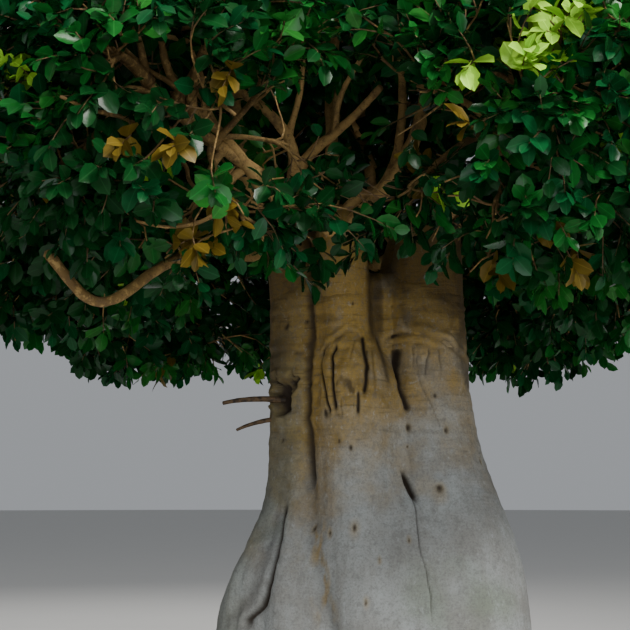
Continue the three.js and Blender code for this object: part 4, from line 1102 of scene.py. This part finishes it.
class Paint:
    """A node material, built up one node at a time."""

    def __init__(self, name):
        self.material = bpy.data.materials.new(name)
        self.material.use_nodes = True
        self.tree = self.material.node_tree
        self.shader = self.tree.nodes["Principled BSDF"]
        self.place = self.tree.nodes.new("ShaderNodeTexCoord").outputs["Object"]

    def set(self, **values):
        """Sets the shader's own sockets, which are named with _ for each space."""
        for key, value in values.items():
            self.shader.inputs[key.replace("_", " ")].default_value = value
        return self

    def give(self, socket, value):
        """Links a socket or sets it."""
        if isinstance(value, bpy.types.NodeSocket):
            self.tree.links.new(value, socket)
        elif np.shape(value) == (3,) and len(socket.default_value) == 4:
            socket.default_value = (*value, 1)
        else:
            socket.default_value = value

    def noise(self, scale, detail=3.0, stretch=(1, 1, 1), rough=0.55):
        """Noise on object coordinates, from 0 to 1."""
        mapping = self.tree.nodes.new("ShaderNodeMapping")
        mapping.inputs["Scale"].default_value = stretch
        self.tree.links.new(self.place, mapping.inputs["Vector"])
        texture = self.tree.nodes.new("ShaderNodeTexNoise")
        self.tree.links.new(mapping.outputs[0], texture.inputs["Vector"])
        for key, value in (("Scale", scale), ("Detail", detail), ("Roughness", rough)):
            texture.inputs[key].default_value = value
        return texture.outputs["Fac"]

    def spread(self, value, low, high, to_low=0.0, to_high=1.0):
        """A value eased from one range to another."""
        node = self.tree.nodes.new("ShaderNodeMapRange")
        node.interpolation_type = "SMOOTHSTEP"
        names = ("Value", "From Min", "From Max", "To Min", "To Max")
        for key, number in zip(names, (value, low, high, to_low, to_high)):
            self.give(node.inputs[key], number)
        return node.outputs["Result"]

    def maths(self, how, first, second):
        """Two values joined by a Math node's operation."""
        node = self.tree.nodes.new("ShaderNodeMath")
        node.operation = how
        self.give(node.inputs[0], first)
        self.give(node.inputs[1], second)
        return node.outputs[0]

    def mix(self, share, first, second):
        """Two colours mixed by a share."""
        node = self.tree.nodes.new("ShaderNodeMix")
        node.data_type = "RGBA"
        self.give(node.inputs["Factor"], share)
        self.give(node.inputs[6], first)
        self.give(node.inputs[7], second)
        return node.outputs[2]

    def over(self, body, value, span, colour, tone=1.0, where=None):
        """A colour, times its tone, laid over a body: its share rises with a value from the span's first
        to its second number, to at most its third, and is multiplied by where."""
        low, high, most = span
        share = self.spread(value, low, high, 0, most)
        if where is not None:
            share = self.maths("MULTIPLY", where, share)
        return self.mix(share, body, [tone * part for part in colour])

    def channels(self, name):
        """The three channels of a colour attribute."""
        attribute = self.tree.nodes.new("ShaderNodeAttribute")
        attribute.attribute_name = name
        split = self.tree.nodes.new("ShaderNodeSeparateColor")
        self.tree.links.new(attribute.outputs["Color"], split.inputs["Color"])
        return split.outputs[0], split.outputs[1], split.outputs[2]

    def axis(self, source, index):
        """One axis of a vector output."""
        split = self.tree.nodes.new("ShaderNodeSeparateXYZ")
        self.tree.links.new(source, split.inputs[0])
        return split.outputs[index]

    def uv(self):
        """The place on a leaf: across and along it, from 0 to 1."""
        return self.tree.nodes.new("ShaderNodeUVMap").outputs["UV"]

    def colour(self, value):
        """Gives the shader its base colour."""
        self.give(self.shader.inputs["Base Color"], value)
        return self

    def bump(self, height, distance, strength=1.0, under=None):
        """Bump from a height, on top of another bump."""
        node = self.tree.nodes.new("ShaderNodeBump")
        node.inputs["Strength"].default_value = strength
        node.inputs["Distance"].default_value = distance
        self.give(node.inputs["Height"], height)
        if under is not None:
            self.tree.links.new(under, node.inputs["Normal"])
        return node.outputs["Normal"]

    def normal(self, value):
        """Gives the shader its normal."""
        self.tree.links.new(value, self.shader.inputs["Normal"])
        return self


def bark_paint(colours):
    """Grey ficus bark, finely speckled and streaked, which turns tan above the graft and at the right,
    with green film and with dirt and painted shade in its grooves, holes and shaded stems."""
    paint = Paint("grey_bark")
    dirt_and_shade, tan, film = paint.channels("marks")
    mottle = paint.noise(11, 6)
    streak = paint.noise(30, 5, (1, 1, 0.12))
    speck = paint.noise(230, 4, rough=0.75)
    rows = paint.noise(18, 4, (1, 1, 9))
    grey = paint.over(colours.bark_pale, mottle, (0.34, 0.66, 0.75), colours.bark_grey)
    grey = paint.over(grey, streak, (0.46, 0.72, 0.55), colours.bark_grey)
    climb = paint.maths("ADD", paint.axis(paint.place, 2), paint.spread(mottle, 0.3, 0.7, -0.07, 0.07))
    climb = paint.maths("ADD", climb, paint.spread(paint.axis(paint.place, 0), -0.17, 0.14, 0.07, -0.09))
    aged = paint.maths("MAXIMUM", paint.spread(climb, 0.60, 1.00, 0.04, 0.94), tan)
    body = paint.mix(aged, grey, colours.bark_tan)
    body = paint.mix(paint.maths("MULTIPLY", film, 0.55), body, colours.bark_green)
    body = paint.over(body, paint.noise(38, 6), (0.52, 0.68, 0.60), colours.bark_tan, 0.55, aged)
    pale = paint.noise(17, 5, (1, 1, 0.5))
    body = paint.over(body, pale, (0.54, 0.70, 0.50), colours.bark_grey, 1.0, aged)
    body = paint.over(body, speck, (0.44, 0.66, 0.42), colours.bark_grey, 0.50)
    lichen = paint.noise(62, 6, rough=0.7)
    body = paint.over(body, lichen, (0.50, 0.64, 0.34), colours.bark_grey, 0.62)
    flake = paint.noise(95, 5, (1, 1, 0.7), rough=0.7)
    body = paint.over(body, flake, (0.56, 0.70, 0.35), colours.bark_pale, 1.25)
    body = paint.over(body, rows, (0.56, 0.72, 0.45), colours.bark_dark, 1.0, aged)
    # Dirt and painted shade from the marks darken the bark.
    body = paint.over(body, dirt_and_shade, (0.06, 0.90, 1.0), colours.bark_dark)
    paint.colour(body).set(Roughness=0.84, Specular_IOR_Level=0.30)
    coarse = paint.bump(streak, 0.008, 0.6)
    lined = paint.bump(rows, 0.0025, 0.6, coarse)
    return paint.normal(paint.bump(speck, 0.0018, 0.7, lined)).material


def limb_paint(colours):
    """Tan limb bark with darker bands, pale scales, cracks and fine grain, with painted light making it
    paler near the trunk than at the crown's front."""
    paint = Paint("tan_bark")
    # Painted light: limbs behind the crown's front are mixed towards the pale limb colour.
    body = paint.over(colours.limb_tan, paint.axis(paint.place, 1), (-0.58, -0.36, 1.0), colours.limb_pale_and_lit)
    blotch = paint.noise(28, 5)
    grain = paint.noise(160, 4, rough=0.65)
    body = paint.over(body, blotch, (0.46, 0.72, 0.8), colours.limb_dark)
    body = paint.over(body, grain, (0.52, 0.72, 0.5), colours.limb_tan, 0.6)
    body = paint.over(body, paint.noise(75, 5, rough=0.7), (0.50, 0.62, 0.55), colours.limb_pale_and_lit, 1.15)
    crack = paint.noise(110, 5, rough=0.7)
    body = paint.over(body, crack, (0.54, 0.64, 0.65), colours.limb_dark)
    paint.colour(body).set(Roughness=0.80, Specular_IOR_Level=0.32)
    lined = paint.bump(crack, -0.0020, 0.7, paint.bump(blotch, 0.004, 0.5))
    return paint.normal(paint.bump(grain, 0.0012, 0.6, lined)).material


def twig_paint(name, light, dark):
    """Smooth brown bark of twigs."""
    paint = Paint(name)
    grain = paint.noise(90, 3)
    paint.colour(paint.over(light, grain, (0.4, 0.65, 1.0), dark))
    paint.set(Roughness=0.72, Specular_IOR_Level=0.35)
    return paint.normal(paint.bump(grain, 0.0006, 0.5)).material


def leaf_paint(name, tint, pale):
    """A waxy leaf of one tint, with a paler midrib and faint blotches. Pale leaves are less glossy."""
    paint = Paint(name)
    off = paint.maths("ABSOLUTE", paint.maths("SUBTRACT", paint.axis(paint.uv(), 0), 0.5), 0.0)
    rib = paint.spread(off, 0.010, 0.045, 0.50, 0.0)
    light = [min(1.0, part * 1.8 + 0.008) for part in tint]
    body = paint.over(tint, paint.noise(55, 3), (0.36, 0.68, 0.55), tint, 1.45)
    body = paint.over(body, paint.noise(7, 2), (0.35, 0.70, 0.5), tint, 0.62)
    paint.colour(paint.mix(rib, body, light)).set(Roughness=0.40 if pale else 0.27, Specular_IOR_Level=0.15)
    return paint.normal(paint.bump(paint.noise(240, 2), 0.0006, 0.35)).material


class FICUS_OT_trunk(bpy.types.Operator):
    """Trunk of fused stems and roots, its stems' tops and the dead twigs"""

    bl_idname = "ficus.trunk"
    bl_label = "Trunk"

    def execute(self, context):
        sizes, colours = context.scene.ficus_sizes, context.scene.ficus_colours
        material = bark_paint(colours)
        columns, (rows_below, below) = TRUNK_MESH["columns"], TRUNK_MESH["lower"]
        share = np.arange(columns) / columns
        turn = -np.pi / 2 + 2 * np.pi * share - TRUNK_MESH["crowding"] * np.sin(2 * np.pi * share)
        rows = np.linspace(0, 1, TRUNK_MESH["rows"])
        wall = np.interp(rows, (0, rows_below, 1), (0, below, BODY_TOP - BODY_ROUNDING))
        closing = np.linspace(0, np.pi / 2, TRUNK_MESH["closing"])[1:]
        heights = np.concatenate((wall, wall[-1] + BODY_ROUNDING * np.sin(closing)))
        drawn = np.concatenate((np.ones(len(wall)), 1 - BODY_CLOSING * (1 - np.cos(closing))))
        angle, height = np.meshgrid(turn, heights)
        radius, marks = trunk_relief(angle, height, sizes.relief)
        radius = radius * drawn[:, None]
        rings = np.stack((radius * np.cos(angle), radius * np.sin(angle), height), -1)
        ends = np.array(((0, 0, 0), (0, 0, heights[-1] + TRUNK_MESH["peak"])))
        points = np.concatenate((rings.reshape(-1, 3), ends))
        marks = np.concatenate((marks.reshape(-1, 3), np.zeros((2, 3))))
        faces = tube_faces(1, len(heights), columns)
        trunk = new_piece("trunk_bark", points, *faces, material, marks=marks)
        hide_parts("trunk")

        tops = []
        steps, sides = STEPS["stem_tops"]
        for i, (stem, (_, _, _, tip)) in enumerate(STEMS.items()):
            if tip is None:
                continue
            low, high = stem_at(stem, STEM_END["start"]), stem_at(stem, BODY_TOP)
            controls = np.array(((*low[:2], STEM_END["start"]), (*high[:2], BODY_TOP), tip[:3]))
            share = np.linspace(0, 1, steps)
            inner = low[2] * STEM_END["inset"]
            plain = inner + (tip[3] - inner) * share ** STEM_END["hold"]
            past = np.maximum(0, (share - STEM_END["rounding"]) / (1 - STEM_END["rounding"]))
            radius = plain * np.sqrt(1 - STEM_END["closing"] * past**2)
            tops.append(rough_limb(bezier(controls[None], share)[0], radius, sides, 70 + i, 0.035))
        points, corners, lengths = gathered(tops)
        marks = np.zeros((len(points), 3))
        # Painted shade on the stems' tops where the crown shades them, from the same list of shades.
        marks[:, 0], _ = shade_marks(np.arctan2(points[:, 1], points[:, 0]), points[:, 2])
        marks[:, 1] = STEM_END["tan"]
        piece = new_piece("stem_tops", points, corners, lengths, material, marks=marks)
        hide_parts("trunk")

        twigs = []
        steps, sides = STEPS["dead_twigs"]
        for i, (root, middle, tip, size) in enumerate(DEAD_TWIGS):
            share = np.linspace(0, 1, steps)
            path = bezier(np.array((root, middle, tip))[None], share)[0]
            twigs.append(rough_limb(path, size * (1 - 0.5 * share), sides, 90 + i, 0.10))
        material = twig_paint("dead_bark", colours.limb_dark, colours.bark_dark)
        dead = new_piece("dead_twigs", *gathered(twigs), material)
        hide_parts("trunk")
        return {"FINISHED"}


class FICUS_OT_boughs(bpy.types.Operator):
    """Boughs from the stems' tips to the masses of foliage, and the low loop"""

    bl_idname = "ficus.boughs"
    bl_label = "Boughs"

    def execute(self, context):
        colours = context.scene.ficus_colours
        steps, sides = STEPS["boughs"]
        share = np.linspace(0, 1, steps)
        limbs, nodes = [], []
        for i, mass in enumerate(MASSES):
            shape = LOW_BOUGH if mass["level"] == "low" else HIGH_BOUGH
            path = bezier(bough_controls(mass)[None], share)[0]
            path = path + noise(path, 0.09, 120 + i)[:, None] * 0.004 * np.sin(np.pi * share)[:, None]
            radius = shape["radius"] * (1 - (1 - shape["taper"]) * share)
            radius = radius * (1 + 0.25 * np.exp(-share / 0.12))
            limbs.append(rough_limb(path, radius, sides, 140 + i, 0.10))
            nodes.append(f"bough_{mass['name']}")
        steps, sides = STEPS["loop"]
        share = np.linspace(0, 1, steps)
        radius = LOOP["radius"] * (LOOP["root"] - (LOOP["root"] - LOOP["taper"]) * share)
        limbs.append(rough_limb(loop_path(steps), radius, sides, 160, 0.10))
        steps, sides = STEPS["front_limbs"]
        share = np.linspace(0, 1, steps)
        for i, (knots, root, tip) in enumerate(FRONT_LIMBS):
            path = curve_through(knots, steps)
            path = path + noise(path, 0.05, 170 + i)[:, None] * 0.003
            radius = (root + (tip - root) * share) * (1 + 0.3 * np.exp(-share / 0.08))
            limbs.append(rough_limb(path, radius, sides, 180 + i, 0.12))
        piece = new_piece("bough_bark", *gathered(limbs), limb_paint(colours))
        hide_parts(*nodes, "bough_loop")
        return {"FINISHED"}


def foliage_nodes():
    """Names of the solids that limbs, shoots and leaves stand in for."""
    return [f"foliage_{mass['name']}" for mass in MASSES]


class FICUS_OT_twigs(bpy.types.Operator):
    """Limbs, twigs and shoots inside the foliage, grown on from the boughs"""

    bl_idname = "ficus.twigs"
    bl_label = "Limbs and twigs"

    def execute(self, context):
        colours = context.scene.ficus_colours
        bark, young = limb_paint(colours), twig_paint("twig_bark", colours.twig, colours.limb_dark)
        inner = gathered([tapered(kind) for kind in ("stems", "limbs", "twigs")])
        shoots = tapered("shoots")
        for name, mesh, material in (("crown_limbs", inner, bark), ("crown_shoots", shoots, young)):
            piece = new_piece(name, *mesh, material)
            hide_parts(*foliage_nodes())
        return {"FINISHED"}


class FICUS_OT_leaves(bpy.types.Operator):
    """Leaves in sprays, joined by tint, and the greens by low and high masses too"""

    bl_idname = "ficus.leaves"
    bl_label = "Leaves"

    def execute(self, context):
        sizes, colours = context.scene.ficus_sizes, context.scene.ficus_colours
        rng = np.random.default_rng(sizes.seed + 900)
        tint = tint_of_shoots(rng)
        level = grown_crown()["shoots"]["level"]
        for i, name in enumerate(TINTS):
            green = name not in ("fresh", "ochre")
            material = leaf_paint(f"leaf_{name}", tuple(getattr(colours, f"leaf_{name}")), not green)
            parts = {"low": level == 0, "high": level == 1} if green else {"all": level >= 0}
            for part, inside in parts.items():
                *mesh, uv = leaf_meshes(np.flatnonzero((tint == i) & inside), rng, sizes)
                piece = new_piece(f"leaves_{name}_{part}", *mesh, material, uv=uv)
                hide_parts(*foliage_nodes())
        return {"FINISHED"}


# The stage: radius of its floor, colour and strength of its sky, the point the lights face, and each
# light's name, place, size, power and colour.
FLOOR_RADIUS = 40
SKY = (0.86, 0.90, 0.95, 1), 0.38
LIT_POINT = (0, 0, 1.1)
LIGHTS = [
    ("key", (1.6, -3.3, 4.6), 1.6, 380, (1.0, 0.97, 0.92)),
    ("fill", (0.9, -4.6, 1.5), 2.4, 80, (0.93, 0.97, 1.0)),
    ("rim", (-1.5, 4.0, 4.0), 2.6, 140, (1.0, 0.98, 0.94)),
]


class FICUS_OT_stage(bpy.types.Operator):
    """Pale floor, soft studio light and the camera"""

    bl_idname = "ficus.stage"
    bl_label = "Stage"

    def execute(self, context):
        scene = context.scene
        paint = Paint("pale_floor")
        tone = scene.ficus_colours.floor
        body = paint.over(tone, paint.noise(3, 2), (0.3, 0.7, 0.06), tone, 0.8)
        paint.colour(body).set(Roughness=0.9, Specular_IOR_Level=0.2)
        turn = np.linspace(0, 2 * np.pi, 97)[:-1]
        rim = np.stack((np.cos(turn), np.sin(turn), np.zeros(len(turn))), -1) * FLOOR_RADIUS
        mesh = bpy.data.meshes.new("floor")
        mesh.from_pydata(rim.tolist(), [], [list(range(len(turn)))])
        mesh.materials.append(paint.material)
        floor = bpy.data.objects.new("floor", mesh)
        scene.collection.objects.link(floor)

        world = bpy.data.worlds.new("studio")
        world.use_nodes = True
        sky = world.node_tree.nodes["Background"].inputs
        sky["Color"].default_value, sky["Strength"].default_value = SKY
        scene.world = world
        for name, place, size, power, tone in LIGHTS:
            light = bpy.data.lights.new(name, "AREA")
            light.size, light.energy, light.color = size, power, tone
            lamp = bpy.data.objects.new(name, light)
            lamp.location = place
            lamp.rotation_euler = (Vector(LIT_POINT) - Vector(place)).to_track_quat("-Z", "Y").to_euler()
            scene.collection.objects.link(lamp)

        camera = bpy.data.objects.new("camera", bpy.data.cameras.new("camera"))
        camera.data.angle = 2 * math.atan(CAMERA["half"] / CAMERA["focal"])
        camera.location = VIEWER.tolist()
        camera.rotation_euler = (math.radians(CAMERA["turn"]), 0, 0)
        scene.collection.objects.link(camera)
        scene.camera = camera
        return {"FINISHED"}


class FICUS_PT_panel(bpy.types.Panel):
    """Lists the tree's operators and its sizes and colours"""

    bl_idname = "FICUS_PT_panel"
    bl_label = "Ficus bonsai"
    bl_space_type = "VIEW_3D"
    bl_region_type = "UI"
    bl_category = "Ficus"

    def draw(self, context):
        for operator in OPERATORS:
            self.layout.operator(operator.bl_idname)
        for group in (context.scene.ficus_sizes, context.scene.ficus_colours):
            for name in group.__annotations__:
                self.layout.prop(group, name)


OPERATORS = (FICUS_OT_trunk, FICUS_OT_boughs, FICUS_OT_twigs, FICUS_OT_leaves, FICUS_OT_stage)
CLASSES = (FicusSizes, FicusColours, *OPERATORS, FICUS_PT_panel)


def register():
    for each in CLASSES:
        bpy.utils.register_class(each)
    bpy.types.Scene.ficus_sizes = bpy.props.PointerProperty(type=FicusSizes)
    bpy.types.Scene.ficus_colours = bpy.props.PointerProperty(type=FicusColours)


def unregister():
    del bpy.types.Scene.ficus_colours
    del bpy.types.Scene.ficus_sizes
    for each in reversed(CLASSES):
        bpy.utils.unregister_class(each)


def main():
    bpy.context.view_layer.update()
    register()
    bpy.ops.ficus.trunk()
    bpy.ops.ficus.boughs()
    bpy.ops.ficus.twigs()
    bpy.ops.ficus.leaves()
    bpy.ops.ficus.stage()


if __name__ == "__main__":
    main()
